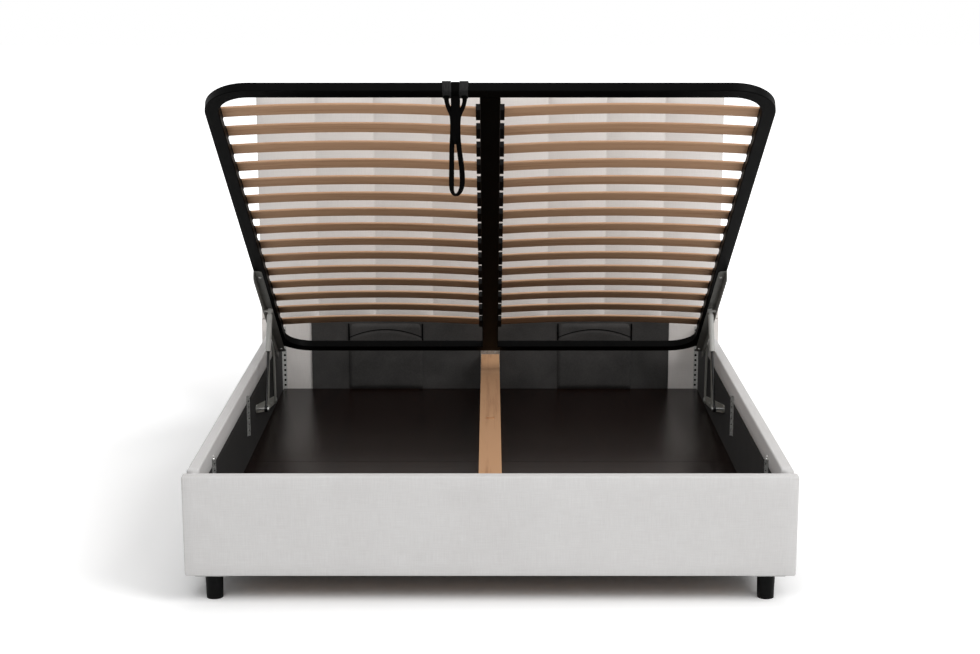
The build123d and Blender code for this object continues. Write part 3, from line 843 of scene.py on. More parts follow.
@dataclass
class ChannelHeadboard:
    """The headboard: eight upright channels over a flat skirt, on a covered back board."""

    channels: int = 8
    crown: float = 12 * MM
    start_share: float = 0.55
    seam_nudge: float = 1e-7
    seam_depth: float = 5 * MM
    seam_half: float = 3 * MM
    seam_reach: float = 9 * MM
    top_round: float = 30 * MM
    top_dip: float = 4 * MM
    foot_round: float = 10 * MM
    padding: float = 45 * MM
    ring_depth: float = 40 * MM
    pinned_depth: float = 36 * MM
    pinned_foot: float = 4 * MM
    across_step: float = 14 * MM
    up_step: float = 18 * MM
    swell_limit: float = 7 * MM
    front_limit: float = 2 * MM
    frames: int = 20

    def build(self) -> list[Piece]:
        """Builds the cushion, the back board's cover and the skirt.

        Returns:
            The three pieces.
        """
        back = FlatCover(
            "headboard_back_cover", "headboard_back", front=False, edge_round=8 * MM, edge_steps=4,
            grid=60 * MM, slack=0.8 * MM, scale=5.0, seed=2.0,
        )
        skirt = FlatCover(
            "headboard_skirt_cover", "headboard_skirt", front=True, edge_round=4 * MM, edge_steps=3,
            grid=50 * MM, slack=0.6 * MM, scale=8.0, seed=4.0,
        )
        return [self.build_channels(), back.build(), skirt.build()]

    def build_channels(self) -> Piece:
        """Builds the channelled cushion and lets its filling swell.

        Returns:
            The cushion.
        """
        low, high = corners("headboard_cushion")
        bm = solid_box(low, high)
        front = low.y + TOUCH
        top = edges_where(bm, lambda place: place.y < front and place.z > high.z - TOUCH)
        round_edges(bm, top, self.top_round, steps=6)
        foot = edges_where(bm, lambda place: place.y < front and place.z < low.z + TOUCH)
        round_edges(bm, foot, self.foot_round, steps=3)
        half = (high.x - low.x) / self.channels / 2
        seams = [low.x + 2 * half * index for index in range(self.channels + 1)]
        for seam in seams[:-1]:
            slice_along(bm, 0, spread(seam, seam + 2 * half, self.across_step))
            cuts = (seam, seam + self.seam_half, seam + 2 * half - self.seam_half)
            slice_along(bm, 0, [place for place in cuts if place > low.x + 10 * TOUCH])
        slice_along(bm, 2, spread(low.z + self.foot_round, high.z - self.top_round, self.up_step))
        slice_along(bm, 1, [low.y + self.ring_depth])
        for vert in bm.verts:
            place = vert.co.copy()
            number = int((place.x - low.x - self.seam_nudge) / (2 * half))
            middle = seams[min(self.channels - 1, number)] + half
            share = min(1.0, abs(place.x - middle) / half)
            shown = 1 - min(1.0, max(0.0, (place.y - low.y) / self.padding))
            depth = self.crown * (self.start_share * share ** 2 + 1 - self.start_share)
            depth += self.seam_depth * max(0.0, 1 - (1 - share) * half / self.seam_reach) ** 2
            vert.co.y += depth * shown
            if place.z > high.z - TOUCH:
                vert.co.z -= self.top_dip * share ** 4
        piece = publish(
            "headboard_channels", bm, Finish.HEAD_COVER, Body.BASE, ["headboard_cushion"]
        )
        self.fill(piece, low, seams)
        return piece

    def fill(self, piece: Piece, low: Vector, seams: Sequence[float]) -> None:
        """Lets the filling push the cover out between its sewn seams.

        Args:
            piece: The cushion.
            low: The cushion's lowest corner.
            seams: The X of the seams.
        """
        scene = bpy.context.scene
        rest = [vert.co.copy() for vert in piece.data.vertices]
        pins = piece.vertex_groups.new(name="sewn")
        fixed = [
            index for index, place in enumerate(rest)
            if place.y > low.y + self.pinned_depth or place.z < low.z + self.pinned_foot
            or min(abs(place.x - seam) for seam in seams) < MM
        ]
        pins.add(fixed, 1.0, "REPLACE")
        cloth = piece.modifiers.new("filling", "CLOTH")
        settings = {
            "quality": 6, "mass": 0.25, "tension_stiffness": 25, "compression_stiffness": 12,
            "shear_stiffness": 6, "bending_stiffness": 1.2, "use_pressure": True,
            "uniform_pressure_force": 5.0, "vertex_group_mass": "sewn",
        }
        for name, value in settings.items():
            setattr(cloth.settings, name, value)
        cloth.settings.effector_weights.gravity = 0.0
        cloth.collision_settings.use_collision = False
        cloth.point_cache.frame_start = 1
        cloth.point_cache.frame_end = self.frames
        for number in range(1, self.frames + 1):
            scene.frame_set(number)
        swollen = piece.evaluated_get(bpy.context.evaluated_depsgraph_get())
        moved = [vert.co.copy() for vert in swollen.data.vertices]
        piece.modifiers.remove(cloth)
        piece.vertex_groups.remove(pins)
        scene.frame_set(1)
        for vert, start, end in zip(piece.data.vertices, rest, moved):
            step = end - start
            if step.length > self.swell_limit:
                step *= self.swell_limit / step.length
            vert.co = start + step
            vert.co.y = max(vert.co.y, low.y - self.front_limit)
        piece.data.update()
        furthest = max((end - start).length for start, end in zip(rest, moved))
        LOG.info("filled %s, furthest move %.1f mm", piece.name, furthest / MM)


@dataclass
class HeadLining:
    """The dark panel at the head of the storage, with two sewn pockets."""

    pocket_inner: float = 265 * MM
    pocket_outer: float = 553 * MM
    mouth_height: float = 208 * MM
    mouth_rise: float = 33 * MM
    mouth_slack: float = 4 * MM
    backing_lift: float = 1.2 * MM
    pouch_lift: float = 2.4 * MM
    pouch_seam: float = 12 * MM
    corner_round: float = 25 * MM
    seam_width: float = 2.4 * MM
    tape_width: float = 5.4 * MM
    hem_gap: float = 3 * MM
    tape_foot: float = 298 * MM
    thickness: float = 1.0 * MM
    fullness: float = 1.05

    def __post_init__(self) -> None:
        """Reads the places that the pockets are sewn to."""
        self.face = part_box("head_lining")[0][1]
        self.floor_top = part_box("floor_panels")[1][2]
        self.pocket_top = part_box("lining_pockets")[1][2]
        self.width = self.pocket_outer - self.pocket_inner

    def build(self) -> list[Piece]:
        """Builds the panel, the pockets and their piping.

        Returns:
            The pieces.
        """
        panel = FlatCover(
            "head_lining_panel", "head_lining", front=True, edge_round=2 * MM, edge_steps=3,
            grid=50 * MM, slack=0.4 * MM, scale=7.0, seed=6.0, finish=Finish.HEAD_LINING,
            slot="lining_fabric", fill=0.95, across_step=50 * MM,
        )
        return [panel.build(), self.build_pockets(), self.build_seams()]

    def pocket_sheet(self, side: Side, arched: bool) -> BMesh:
        """One layer of a pocket.

        Args:
            side: The side of the bed.
            arched: Whether it is the pouch, whose mouth is an arch, or the backing.

        Returns:
            The layer's mesh.
        """
        bm = unit_sheet(columns=20, rows=14)
        foot = self.floor_top + self.hem_gap
        for vert in bm.verts:
            across, up = vert.co.x + 0.5, vert.co.y + 0.5
            hump = swell(across)
            if arched:
                top = self.floor_top + self.mouth_height + self.mouth_rise * hump
                lift = self.pouch_lift + self.mouth_slack * hump * up ** 2
            else:
                corner = max(0.0, 1 - min(across, 1 - across) * self.width / self.corner_round)
                top = self.pocket_top - self.corner_round * (1 - math.sqrt(max(0.0, 1 - corner * corner)))
                lift = self.backing_lift
            x = side.value * (self.pocket_inner + across * self.width)
            vert.co = Vector((x, self.face - lift, foot + up * (top - foot)))
        thicken_sheet(bm, 1, -1, self.thickness)
        return bm

    def build_pockets(self) -> Piece:
        """Builds both pockets.

        Returns:
            The pockets as one piece.
        """
        whole = bmesh.new()
        for side in Side:
            for arched in (False, True):
                merge_into(whole, self.pocket_sheet(side, arched))
        piece = publish(
            "lining_pocket_cloth", whole, Finish.HEAD_LINING, Body.BASE, ["lining_pockets"]
        )
        return piece

    def build_seams(self) -> Piece:
        """Builds the dark piping down the sides of each pocket and along its mouth.

        Returns:
            The piping as one piece.
        """
        face = self.face - self.pouch_lift - self.thickness
        half = self.seam_width / 2
        corner = Vector((self.tape_width / 2, half, 0))
        whole = bmesh.new()
        for side in Side:
            for x in (self.pocket_inner, self.pocket_outer):
                foot, head = Vector((0, 0, self.tape_foot)), Vector((0, 0, self.pocket_top))
                seam = solid_box(foot - corner, head + corner)
                bmesh.ops.translate(seam, vec=(side.value * x, face, 0), verts=seam.verts)
                round_edges(seam, seam.edges, half * 0.6, steps=2)
                merge_into(whole, seam)
            mouth = solid_box(Vector((-0.5, -half, -half)), Vector((0.5, half, half)))
            slice_along(mouth, 0, spread(-0.5, 0.5, step=0.05))
            for vert in mouth.verts:
                share = vert.co.x + 0.5
                hump = swell(share)
                x = side.value * (self.pocket_inner + share * self.width)
                z = self.floor_top + self.mouth_height + self.mouth_rise * hump + vert.co.z
                vert.co = Vector((x, face - self.mouth_slack * hump + vert.co.y, z))
            merge_into(whole, mouth)
        return publish("lining_piping", whole, Finish.SEAM, Body.BASE)


# Platform


@dataclass(frozen=True)
class PlatformFrame:
    """Where the lifted platform stands: its head end, tilt and length."""

    head_y: float = 738.0 * MM
    head_z: float = 327.5 * MM
    tilt: float = math.radians(34.03)
    length: float = 1970 * MM

    def place(self, x: float, reach: float, height: float) -> Vector:
        """A place on the lifted platform.

        Args:
            x: Across the bed.
            reach: From the head end along the platform.
            height: Above its underside.

        Returns:
            The place at rest.
        """
        y = self.head_y - reach * math.cos(self.tilt) + height * math.sin(self.tilt)
        z = self.head_z + reach * math.sin(self.tilt) + height * math.cos(self.tilt)
        return Vector((x, y, z))

    def lay(self, part: BMesh, x: float, reach: float, height: float) -> None:
        """Moves a mesh from the origin to a place on the platform and tilts it."""
        seat = Matrix.Translation(self.place(x, reach, height)) @ Matrix.Rotation(-self.tilt, 4, "X")
        bmesh.ops.transform(part, matrix=seat, verts=part.verts)

    def underside(self) -> Vector:
        """Direction out of the platform's underside."""
        return -Vector((0, math.sin(self.tilt), math.cos(self.tilt)))


@dataclass
class SprungSlats:
    """Fifteen rows of bowed beech slats, two in each row, and the caps at their outer ends."""

    platform: PlatformFrame = field(default_factory=PlatformFrame)
    rows: int = 15
    first_reach: float = 1783.5 * MM
    pitch: float = 112.7 * MM
    inner: float = 10 * MM
    outer: float = 785 * MM
    width: float = 53 * MM
    thickness: float = 8 * MM
    crown: float = 14 * MM
    crown_step: float = 30 * MM
    seat: float = 32 * MM
    edge_round: float = 3.4 * MM
    cap_width: float = 55 * MM
    cap_height: float = 14 * MM
    cap_seat: float = 27.3 * MM
    cap_inner: float = 765 * MM
    cap_outer: float = 795 * MM

    def build(self) -> list[Piece]:
        """Builds every row and the caps at the side tubes."""
        return [*(self.build_row(index) for index in range(self.rows)), self.build_end_caps()]

    def reach(self, index: int) -> float:
        """How far a row is from the head end."""
        return self.first_reach - index * self.pitch

    def build_row(self, index: int) -> Piece:
        """Builds one row, with rounded long edges.

        Args:
            index: The row, counted from the foot end.

        Returns:
            The row.
        """
        length = self.outer - self.inner
        whole = bmesh.new()
        for side in Side:
            half = self.width / 2
            slat = solid_box(Vector((0, -half, 0)), Vector((length, half, self.thickness)))
            round_edges(slat, edges_along(slat, 0), self.edge_round, steps=4)
            slice_along(slat, 0, spread(0, length, self.crown_step))
            for vert in slat.verts:
                vert.co.z += self.crown * swell(vert.co.x / length)
                vert.co.x = side.value * (self.inner + vert.co.x)
            self.platform.lay(slat, 0, self.reach(index), self.seat)
            merge_into(whole, slat)
        number = f"{index + 1:02d}"
        node = f"slat_row_{number}"
        return publish(f"slat_{number}", whole, Finish.BEECH, Body.PLATFORM, [node])

    def build_end_caps(self) -> Piece:
        """Builds the rounded plastic caps that take the slats' outer ends.

        Returns:
            The caps as one piece.
        """
        half = self.cap_width / 2
        low, high = Vector((self.cap_inner, -half, 0)), Vector((self.cap_outer, half, self.cap_height))
        whole = bmesh.new()
        for index in range(self.rows):
            for side in Side:
                cap = solid_box(low, high)
                round_edges(cap, cap.edges, self.edge_round, steps=3)
                for vert in cap.verts:
                    vert.co.x *= side.value
                self.platform.lay(cap, 0, self.reach(index), self.cap_seat)
                merge_into(whole, cap)
        return publish(
            "slat_end_caps", whole, Finish.HOLDER, Body.PLATFORM, ["slat_holders_side"]
        )


@dataclass
class PullStrap:
    """The webbing handle hitched round the foot bar.

    The tables follow the strap in the photograph, in millimetres: the drop below the bar, the offset from the
    strap's middle, and half the seen width across and up. The neck's table gives the drop and half the width.
    """

    platform: PlatformFrame = field(default_factory=PlatformFrame)
    centre: float = -96.5 * MM
    band_spacing: float = 48.6 * MM
    band_width: float = 25 * MM
    band_gap: float = 1 * MM
    band_round: float = 3 * MM
    band_grid: float = 6 * MM
    thickness: float = 2 * MM
    bar_depth: float = 40.6 * MM
    bar_height: float = 27.6 * MM
    bar_inset: float = 20 * MM
    bar_middle: float = 13.5 * MM
    pinch: float = 3 * MM
    bulge: float = 2.5 * MM
    swelling: float = 1.08
    twist: float = 0.45
    top_drop: float = 2.5 * MM
    neck_offset: float = 0.6
    neck_shift: float = -2.2 * MM
    neck: tuple[tuple[float, float], ...] = (
        (-2, 13), (10, 13), (32, 13), (58, 13), (84, 13), (106, 12.6), (120, 8), (129, 3.5), (134, 1.5),
    )
    left_arm: tuple[tuple[float, float, float, float], ...] = (
        (-2, -24.3, 11.5, 0), (6, -24.0, 7.6, 0), (12, -23.6, 6.0, 0.6), (21, -22.0, 5.8, 1.2),
        (31, -18.4, 6.2, 2.2), (43, -12.2, 6.8, 2.0), (56, -7.2, 7.2, 0.5), (82, -6.6, 7.2, 0),
        (112, -7.2, 7.4, 0), (128, -8.4, 7.6, 0), (146, -9.6, 6.8, 0), (168, -10.0, 6.9, 0),
        (198, -10.3, 7.1, 0), (228, -10.9, 7.3, 0), (248, -11.2, 7.2, 0.8),
    )
    bight: tuple[tuple[float, float, float, float], ...] = (
        (262, -9.8, 5.6, 3.0), (270, -6.6, 3.4, 3.6), (275, -1.2, 0.6, 3.2), (273, 5.4, -2.6, 3.8),
        (266, 12.2, -5.0, 3.4),
    )
    right_arm: tuple[tuple[float, float, float, float], ...] = (
        (-2, 24.3, -11.5, 0), (6, 25.6, -7.6, 0), (12, 25.4, -6.0, 0.6), (21, 24.0, -5.6, 1.2),
        (31, 20.8, -5.8, 2.2), (43, 14.0, -6.6, 2.0), (56, 8.0, -7.0, 0.5), (82, 6.4, -7.2, 0),
        (112, 6.6, -7.4, 0), (128, 7.8, -7.6, 0), (146, 10.0, -7.2, 0), (168, 12.6, -7.4, 0),
        (198, 17.2, -7.6, 0), (228, 18.6, -7.6, 0), (248, 18.5, -7.4, 0.8),
    )

    def build(self) -> list[Piece]:
        """Builds the wraps and the hanging loop."""
        return [*self.build_wraps(), self.build_loop()]

    def ribbon(self, bm: BMesh, rows: Sequence[Seat]) -> None:
        """Adds a flat band that runs through the rows.

        Args:
            bm: The mesh that it is added to.
            rows: The middle of the band and half its width, as vectors.
        """
        layer = bm.loops.layers.uv.verify()
        first_middle, first_half = rows[0]
        start = [bm.verts.new(first_middle - first_half), bm.verts.new(first_middle + first_half)]
        edge = bm.edges.new(start)
        run = 0.0
        strip = []
        for (before, _), (middle, half) in zip(rows, rows[1:]):
            made = bmesh.ops.extrude_edge_only(bm, edges=[edge])["geom"]
            edge = next(item for item in made if isinstance(item, bmesh.types.BMEdge))
            face = next(item for item in made if isinstance(item, bmesh.types.BMFace))
            fresh = sorted(edge.verts, key=lambda vert: (vert.co - start[0].co).length)
            fresh[0].co, fresh[1].co = middle - half, middle + half
            step = (middle - before).length
            for loop in face.loops:
                across = 0.0 if loop.vert in (start[0], fresh[0]) else 2 * half.length
                loop[layer].uv = (across, run + step if loop.vert in fresh else run)
            run += step
            start = fresh
            strip.append(face)
        bmesh.ops.solidify(bm, geom=strip, thickness=self.thickness)

    def band(self, width: float) -> BMesh:
        """One flat band closed round the bar, with the bar's section at the origin.

        Args:
            width: The band's width.

        Returns:
            The band's mesh.
        """
        corner = Vector((width, self.bar_depth, self.bar_height)) / 2
        part = solid_box(-corner, corner)
        bmesh.ops.delete(part, geom=[f for f in part.faces if abs(f.normal.x) > 0.9], context="FACES_ONLY")
        round_edges(part, edges_along(part, 0), self.band_round, steps=4)
        slice_along(part, 0, spread(-width / 2, width / 2, self.band_grid))
        bmesh.ops.recalc_face_normals(part, faces=part.faces)
        bmesh.ops.solidify(part, geom=list(part.faces), thickness=-self.thickness)
        return part

    def build_wraps(self) -> list[Piece]:
        """Builds the bands that go round the bar: one on each side and the one that crosses between them.

        Returns:
            The outer bands as one piece and the middle band as another.
        """
        outer, inner = bmesh.new(), bmesh.new()
        middle_width = self.band_spacing - self.band_width - self.band_gap
        for offset in (-self.band_spacing / 2, 0.0, self.band_spacing / 2):
            part = self.band(self.band_width if offset else middle_width)
            for vert in part.verts if offset else ():
                pinch = self.pinch * max(0.0, -vert.co.z / self.bar_height)
                vert.co.x += offset - math.copysign(pinch, offset)
                if vert.co.z > 0:
                    vert.co.z += self.bulge
            self.platform.lay(part, self.centre, self.platform.length - self.bar_inset, self.bar_middle)
            merge_into(outer if offset else inner, part)
        # The bands over the bar use the lighter copy of the black webbing, which is painted light. The middle
        # band uses the black.
        return [
            publish("strap_bands", outer, Finish.WEBBING, Body.PLATFORM, ["strap_wraps"]),
            publish("strap_middle_band", inner, Finish.BLACK_WEBBING, Body.PLATFORM),
        ]

    def run(self, table: Iterable[tuple[float, float, float, float]], shift: float = 0.0) -> list[Seat]:
        """Turns places of the band in a table into rows of a ribbon.

        Args:
            table: The places.
            shift: How far the run stands behind the strap's middle plane.

        Returns:
            The middle of the band and half its width at each place.
        """
        low, high = corners("pull_strap")
        middle_y, top = (low.y + high.y) / 2, high.z - self.top_drop
        rows = []
        for drop, offset, across, up in table:
            seen = math.hypot(across, up) * self.swelling
            hidden = math.sqrt(max(0.0, (self.band_width / 2 / MM) ** 2 - seen ** 2)) * self.twist
            place = Vector((self.centre + offset * MM, middle_y + shift, top - drop * MM))
            rows.append((place, Vector((across * self.swelling, hidden, up * self.swelling)) * MM))
        return rows

    def build_loop(self) -> Piece:
        """Builds the hanging handle: two arms, a neck and an open loop.

        Returns:
            The handle.
        """
        bm = bmesh.new()
        self.ribbon(bm, self.run((*self.left_arm, *self.bight, *reversed(self.right_arm))))
        neck = [(drop, self.neck_offset, half, 0) for drop, half in self.neck]
        self.ribbon(bm, self.run(neck, self.neck_shift))
        piece = publish(
            "strap_handle", bm, Finish.BLACK_WEBBING, Body.STRAP, ["pull_strap"],
            flat_uv=False,
        )
        smoother = piece.modifiers.new("weave_smoothing", "SUBSURF")
        smoother.levels = smoother.render_levels = 2
        return piece


# Fixings


@dataclass(frozen=True)
class Screw:
    """One round headed screw with a sunk drive, standing on a surface.

    The shares below are of its radius or, for the edge and the drive's depth, of its height.
    """

    radius: float
    height: float
    sides: int = 18
    top_share: float = 0.92
    edge_share: float = 0.4
    rim_share: float = 0.3
    drive_wall: float = 0.04
    drive_depth: float = 0.45

    def add(self, bm: BMesh, place: Vector, direction: Vector) -> None:
        """Adds the screw's head to a mesh.

        Args:
            bm: The mesh.
            place: The centre of its seat.
            direction: Out of the surface.
        """
        turn = direction.to_track_quat("Z", "Y").to_matrix().to_4x4()
        outwards = direction.normalized() * self.height
        made = bmesh.ops.create_cone(
            bm, cap_ends=True, segments=self.sides, radius1=self.radius, depth=self.height,
            radius2=self.radius * self.top_share, matrix=Matrix.Translation(place + outwards / 2) @ turn,
        )["verts"]
        top = place + outwards
        shown = [vert for vert in made if (vert.co - top).dot(direction) > -TOUCH]
        caps = {face for vert in shown for face in vert.link_faces if all(v in shown for v in face.verts)}
        rim = {edge for face in caps for edge in face.edges}
        round_edges(bm, rim, self.height * self.edge_share, steps=3)
        for face in [f for f in bm.faces if len(f.verts) == self.sides]:
            if (face.calc_center_median() - top).length < 10 * TOUCH:
                for wall, depth in ((self.rim_share, 0.0), (self.drive_wall, self.drive_depth)):
                    bmesh.ops.inset_individual(
                        bm, faces=[face], thickness=self.radius * wall, depth=-self.height * depth
                    )


@dataclass
class Fixings:
    """Screws and bolts that show on the steel parts, the same on both sides of the bed."""

    inwards: ClassVar[Vector] = Vector((-1, 0, 0))
    forwards: ClassVar[Vector] = Vector((0, -1, 0))
    platform: PlatformFrame = field(default_factory=PlatformFrame)
    bracket_screw: Screw = Screw(radius=6 * MM, height=2.6 * MM)
    plate_bolt: Screw = Screw(radius=5 * MM, height=2 * MM)
    angle_screw: Screw = Screw(radius=4 * MM, height=2.4 * MM)
    # Black heads sized as the head angle's holes: painted shade for the dark of the open holes.
    strip_hole_shade_head: Screw = Screw(radius=5.3 * MM, height=2.3 * MM)
    hanger_screw: Screw = Screw(radius=4 * MM, height=2 * MM)
    bracket_x: float = 788.5 * MM
    bracket_drop: float = 3 * MM
    bracket_reaches: tuple[float, ...] = (0.030, 0.360, 0.700)
    plate_places: tuple[tuple[float, float], ...] = ((0.262, 0.226), (0.360, 0.203), (0.560, 0.167))
    angle_heights: tuple[float, ...] = (0.232, 0.332)
    angle_wall: float = 2 * MM
    angle_inset: float = 7 * MM
    strip_inset: float = 9 * MM
    hole_pitch: float = 20 * MM
    hanger_half: float = 20 * MM
    hanger_wall: float = 2.5 * MM
    hanger_drop: float = 7 * MM
    dome_radius: float = 5.5 * MM
    dome_offset: tuple[float, float, float] = (-5 * MM, -2 * MM, -0.5 * MM)
    dome_squash: tuple[float, float, float, float] = (0.8, 0.7, 1.0, 1.0)
    spike_lift: float = 3 * MM
    spike_length: float = 9 * MM
    spike_radii: tuple[float, float] = (2.4 * MM, 0.6 * MM)

    def build(self) -> list[Piece]:
        """Builds every group of fixings.

        Returns:
            The pieces.
        """
        # The bracket screws and dome bolts are near white: a painted highlight on their zinc plate.
        bright, grey, black = Finish.BRIGHT_BOLT, Finish.ZINC, Finish.ROD_BLACK
        return [
            self.group("bracket_screws", self.bracket_screw, self.bracket_seats(), bright, Body.PLATFORM),
            self.group("plate_bolts", self.plate_bolt, self.plate_seats(), grey),
            self.group("angle_screws", self.angle_screw, self.angle_seats(), grey),
            # Black heads fill every hole of the head angle. Their black is painted shade, standing for the
            # dark of the open holes.
            self.group("strip_hole_shade_heads", self.strip_hole_shade_head, self.strip_seats(), black),
            self.dome_bolts(),
            self.group("hanger_screws", self.hanger_screw, self.hanger_seats(), grey),
        ]

    def bracket_seats(self) -> list[Seat]:
        """Seats under the right side tube, where the lift bracket is held."""
        out, drop = self.platform.underside(), self.bracket_drop
        return [(self.platform.place(self.bracket_x, reach, -drop), out) for reach in self.bracket_reaches]

    def plate_seats(self) -> list[Seat]:
        """Seats on the inner face of the right base plate."""
        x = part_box("base_plate_right")[0][0]
        return [(Vector((x, y, z)), self.inwards) for y, z in self.plate_places]

    def angle_seats(self) -> list[Seat]:
        """Seats in the perforated angle on the right rail.

        Returns:
            The seats.
        """
        end = corners("rail_angles")[1]
        x, y = end.x - self.angle_wall, end.y - self.angle_inset
        return [(Vector((x, y, z)), self.inwards) for z in self.angle_heights]

    def strip_seats(self) -> list[Seat]:
        """Seats in the right head angle's row of holes, which is even about its middle.

        Returns:
            The seats.
        """
        low, high = corners("head_angles")
        count = int((high.z - low.z) / self.hole_pitch)
        first = (high.z + low.z - (count - 1) * self.hole_pitch) / 2
        heights = [first + index * self.hole_pitch for index in range(count)]
        return [(Vector((high.x - self.strip_inset, high.y, z)), self.forwards) for z in heights]

    def hanger_seats(self) -> list[Seat]:
        """Seats on the right of each beam hanger's upstand.

        Returns:
            The seats.
        """
        low, high = corners("beam_hangers")
        ends = ((low.y + self.hanger_wall, -self.forwards), (high.y - self.hanger_wall, self.forwards))
        return [(Vector((self.hanger_half, y, high.z - self.hanger_drop)), way) for y, way in ends]

    def group(
        self, name: str, screw: Screw, seats: Iterable[Seat], finish: Finish, body: Body = Body.BASE
    ) -> Piece:
        """Builds one group of screws.

        Args:
            name: The group's name.
            screw: The kind of screw.
            seats: Places on the right side and directions out of the surface.
            finish: The screws' finish.
            body: The body that they ride on.

        Returns:
            The screws of both sides as one piece.
        """
        bm = bmesh.new()
        for place, direction in seats:
            for side in Side:
                flip = Vector((side.value, 1, 1))
                screw.add(bm, place * flip, direction * flip)
        return publish(name, bm, finish, body, flat_uv=False)

    def dome_bolts(self) -> Piece:
        """Builds the dome bolt with a pointed end at the head of each front angle, near white as a painted
        highlight.

        Returns:
            The bolts as one piece.
        """
        bm = bmesh.new()
        low, high = corners("rail_angles")
        foot, point = self.spike_radii
        for side in Side:
            place = Vector((high.x, low.y, high.z)) + Vector(self.dome_offset)
            place.x *= side.value
            bmesh.ops.create_uvsphere(
                bm, u_segments=16, v_segments=10, radius=self.dome_radius,
                matrix=Matrix.Translation(place) @ Matrix.Diagonal(self.dome_squash),
            )
            bmesh.ops.create_cone(
                bm, cap_ends=True, segments=12, radius1=foot, radius2=point, depth=self.spike_length,
                matrix=Matrix.Translation(place + Vector((0, 0, self.dome_radius + self.spike_lift))),
            )
        return publish("dome_bolts", bm, Finish.BRIGHT_BOLT, Body.BASE, flat_uv=False)


class BareParts:
    """Nodes whose solids show as they are, by the first words of their names."""

    groups: ClassVar[dict[Finish, tuple[str, ...]]] = {
        Finish.RAW_BOARD: ("footboard_core", "side_rail_core"),
        Finish.BOARD: ("floor_panels",),
        Finish.PINE: ("floor_battens", "centre_beam", "beam_rest_pad"),
        Finish.ZINC: ("beam_hangers", "base_pins", "bracket_pins", "leg_plates"),
        Finish.HEAD_STRIP: ("head_angles",),
        Finish.RAIL_STRIP: ("rail_angles",),
        Finish.LEG: ("corner_legs", "centre_leg"),
        Finish.BRACKET_GREY: ("lift_bracket",),
        Finish.LINK_GREY: ("base_plate", "front_link", "rear_link"),
        Finish.CYLINDER_GREY: ("gas_cylinder",),
        Finish.ROD_BLACK: ("gas_rod",),
        Finish.FRAME_BLACK: ("frame_",),
        Finish.HOLDER: ("slat_holders_centre",),
    }

    def build(self) -> list[Piece]:
        """Gives each shown node its finish.

        Returns:
            The nodes.
        """
        dressed = []
        for finish, words in self.groups.items():
            for name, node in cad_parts.items():
                if name.startswith(words):
                    node.data.materials.clear()
                    node.data.materials.append(material_of(finish))
                    dressed.append(node)
        return dressed


# Studio


@dataclass(frozen=True)
class Lamp:
    """A soft round lamp, where it hangs and what it is aimed at."""

    name: str
    place: tuple[float, float, float]
    target: tuple[float, float, float]
    size: float
    power: float

    def hang(self) -> None:
        """Hangs the lamp."""
        lamp = bpy.data.lights.new(self.name, "AREA")
        lamp.shape = "DISK"
        lamp.size = self.size
        lamp.energy = self.power
        holder = add_object(self.name, lamp)
        holder.location = self.place
        aim = Vector(self.target) - Vector(self.place)
        holder.rotation_euler = aim.to_track_quat("-Z", "Y").to_euler()


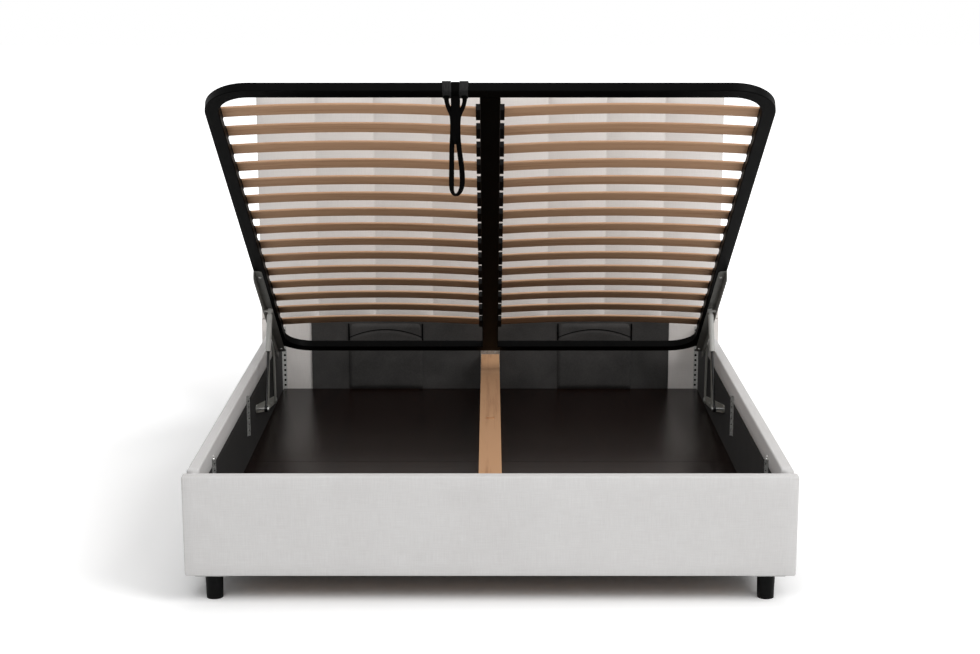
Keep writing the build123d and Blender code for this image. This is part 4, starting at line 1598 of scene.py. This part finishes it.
@dataclass
class Studio:
    """Floor, lights, backdrop and camera."""

    focal_pixels: float = 1755.0
    picture_width: float = 980.0
    sensor_width: float = 36.0
    shift_pixels: float = -0.2
    camera_place: tuple[float, float, float] = (0.0, -5.752, 1.7953)
    camera_tilt: float = 78.033
    floor_size: float = 60.0
    ambient: float = 0.38
    floor_colour: float = 0.92
    floor_shown: float = 0.24
    fade_stretch: float = 0.75
    fade_start: float = 1.15
    fade_end: float = 3.6
    lamps: tuple[Lamp, ...] = (
        Lamp("key", (5.0, -3.7, 5.7), (0, 0, 0.4), size=4.4, power=305.0),
        Lamp("fill", (-1.3, -4.9, 4.4), (0, 0, 0.4), size=3.0, power=94.0),
        Lamp("top", (0.3, 1.0, 4.8), (0, 0.4, 0.3), size=3.5, power=60.0),
    )

    def build(self) -> None:
        """Builds the studio."""
        self.build_floor()
        self.build_world()
        for lamp in self.lamps:
            lamp.hang()
        self.build_camera()
        bpy.context.scene.view_settings.view_transform = "Standard"

    def build_floor(self) -> None:
        """Lays the pale floor, which fades to white away from the bed and keeps its shadow."""
        bm = unit_sheet(columns=1, rows=1)
        bmesh.ops.scale(bm, vec=Vector((self.floor_size, self.floor_size, 1)), verts=bm.verts)
        mesh = bpy.data.meshes.new("studio_floor")
        bm.to_mesh(mesh)
        bm.free()
        recipe = Recipe("studio_floor")
        where = recipe.place("Object", (1, self.fade_stretch, 0))
        radius = recipe.add("VectorMath", {0: where}, operation="LENGTH").outputs["Value"]
        fade = recipe.add("MapRange", {0: radius, 1: self.fade_start, 2: self.fade_end}).outputs[0]
        seen = recipe.add("LightPath").outputs["Is Camera Ray"]
        level = self.floor_colour
        recipe.finish(
            Base_Color=(level, level, level, 1.0), Roughness=1.0, Specular_IOR_Level=0.0,
            Emission_Color=(1.0, 1.0, 1.0, 1.0), Emission_Strength=recipe.work("MULTIPLY", fade, seen),
        )
        shown = recipe.add("BsdfDiffuse", {"Color": recipe.work("MULTIPLY", seen, self.floor_shown)})
        both = recipe.add("AddShader", {0: recipe.shader.outputs["BSDF"], 1: shown.outputs["BSDF"]})
        recipe.plug(recipe.output.inputs["Surface"], both.outputs["Shader"])
        mesh.materials.append(recipe.material)
        add_object("studio_floor", mesh)

    def build_world(self) -> None:
        """Lights the room evenly and shows it white to the camera, in gloss and through glass."""
        world = bpy.context.scene.world = bpy.data.worlds.new("studio")
        sky = NodeTree(world)
        path = sky.add("LightPath").outputs
        seen = path["Is Camera Ray"]
        for name in ("Is Glossy Ray", "Is Transmission Ray"):
            seen = sky.work("MAXIMUM", seen, path[name])
        strength = sky.between(seen, self.ambient, 1.0)
        back = sky.add("Background", {"Color": (1, 1, 1, 1), "Strength": strength})
        sky.add("OutputWorld", {"Surface": back.outputs[0]})

    def build_camera(self) -> None:
        """Stands the camera where the photograph was taken from."""
        lens = bpy.data.cameras.new("camera")
        lens.sensor_width = self.sensor_width
        lens.lens = self.focal_pixels / self.picture_width * self.sensor_width
        lens.shift_x = self.shift_pixels / self.picture_width
        camera = add_object("camera", lens)
        camera.location = self.camera_place
        camera.rotation_euler = (math.radians(self.camera_tilt), 0, 0)
        bpy.context.scene.camera = camera


def main() -> None:
    """Builds the bed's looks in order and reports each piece."""
    logging.basicConfig(level=logging.INFO, format="%(name)s: %(message)s")
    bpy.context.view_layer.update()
    foot = ("footboard", "footboard_cover", "footboard_lining")
    boards = [PaddedBoard(*foot, along=0, inwards=1, lining_inset=10 * MM)]
    for side in Side:
        rail = (f"side_rail_{part}{side.name.lower()}" for part in ("", "cover_", "lining_"))
        boards.append(PaddedBoard(*rail, along=1, inwards=-side.value))
    made = (BareParts(), *boards, ChannelHeadboard(), HeadLining(), PullStrap(), SprungSlats(), Fixings())
    for assembly in made:
        for piece in assembly.build():
            LOG.info("%s: %d faces", piece.name, len(piece.data.polygons))
    Studio().build()
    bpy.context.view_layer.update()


if __name__ == "__main__":
    main()
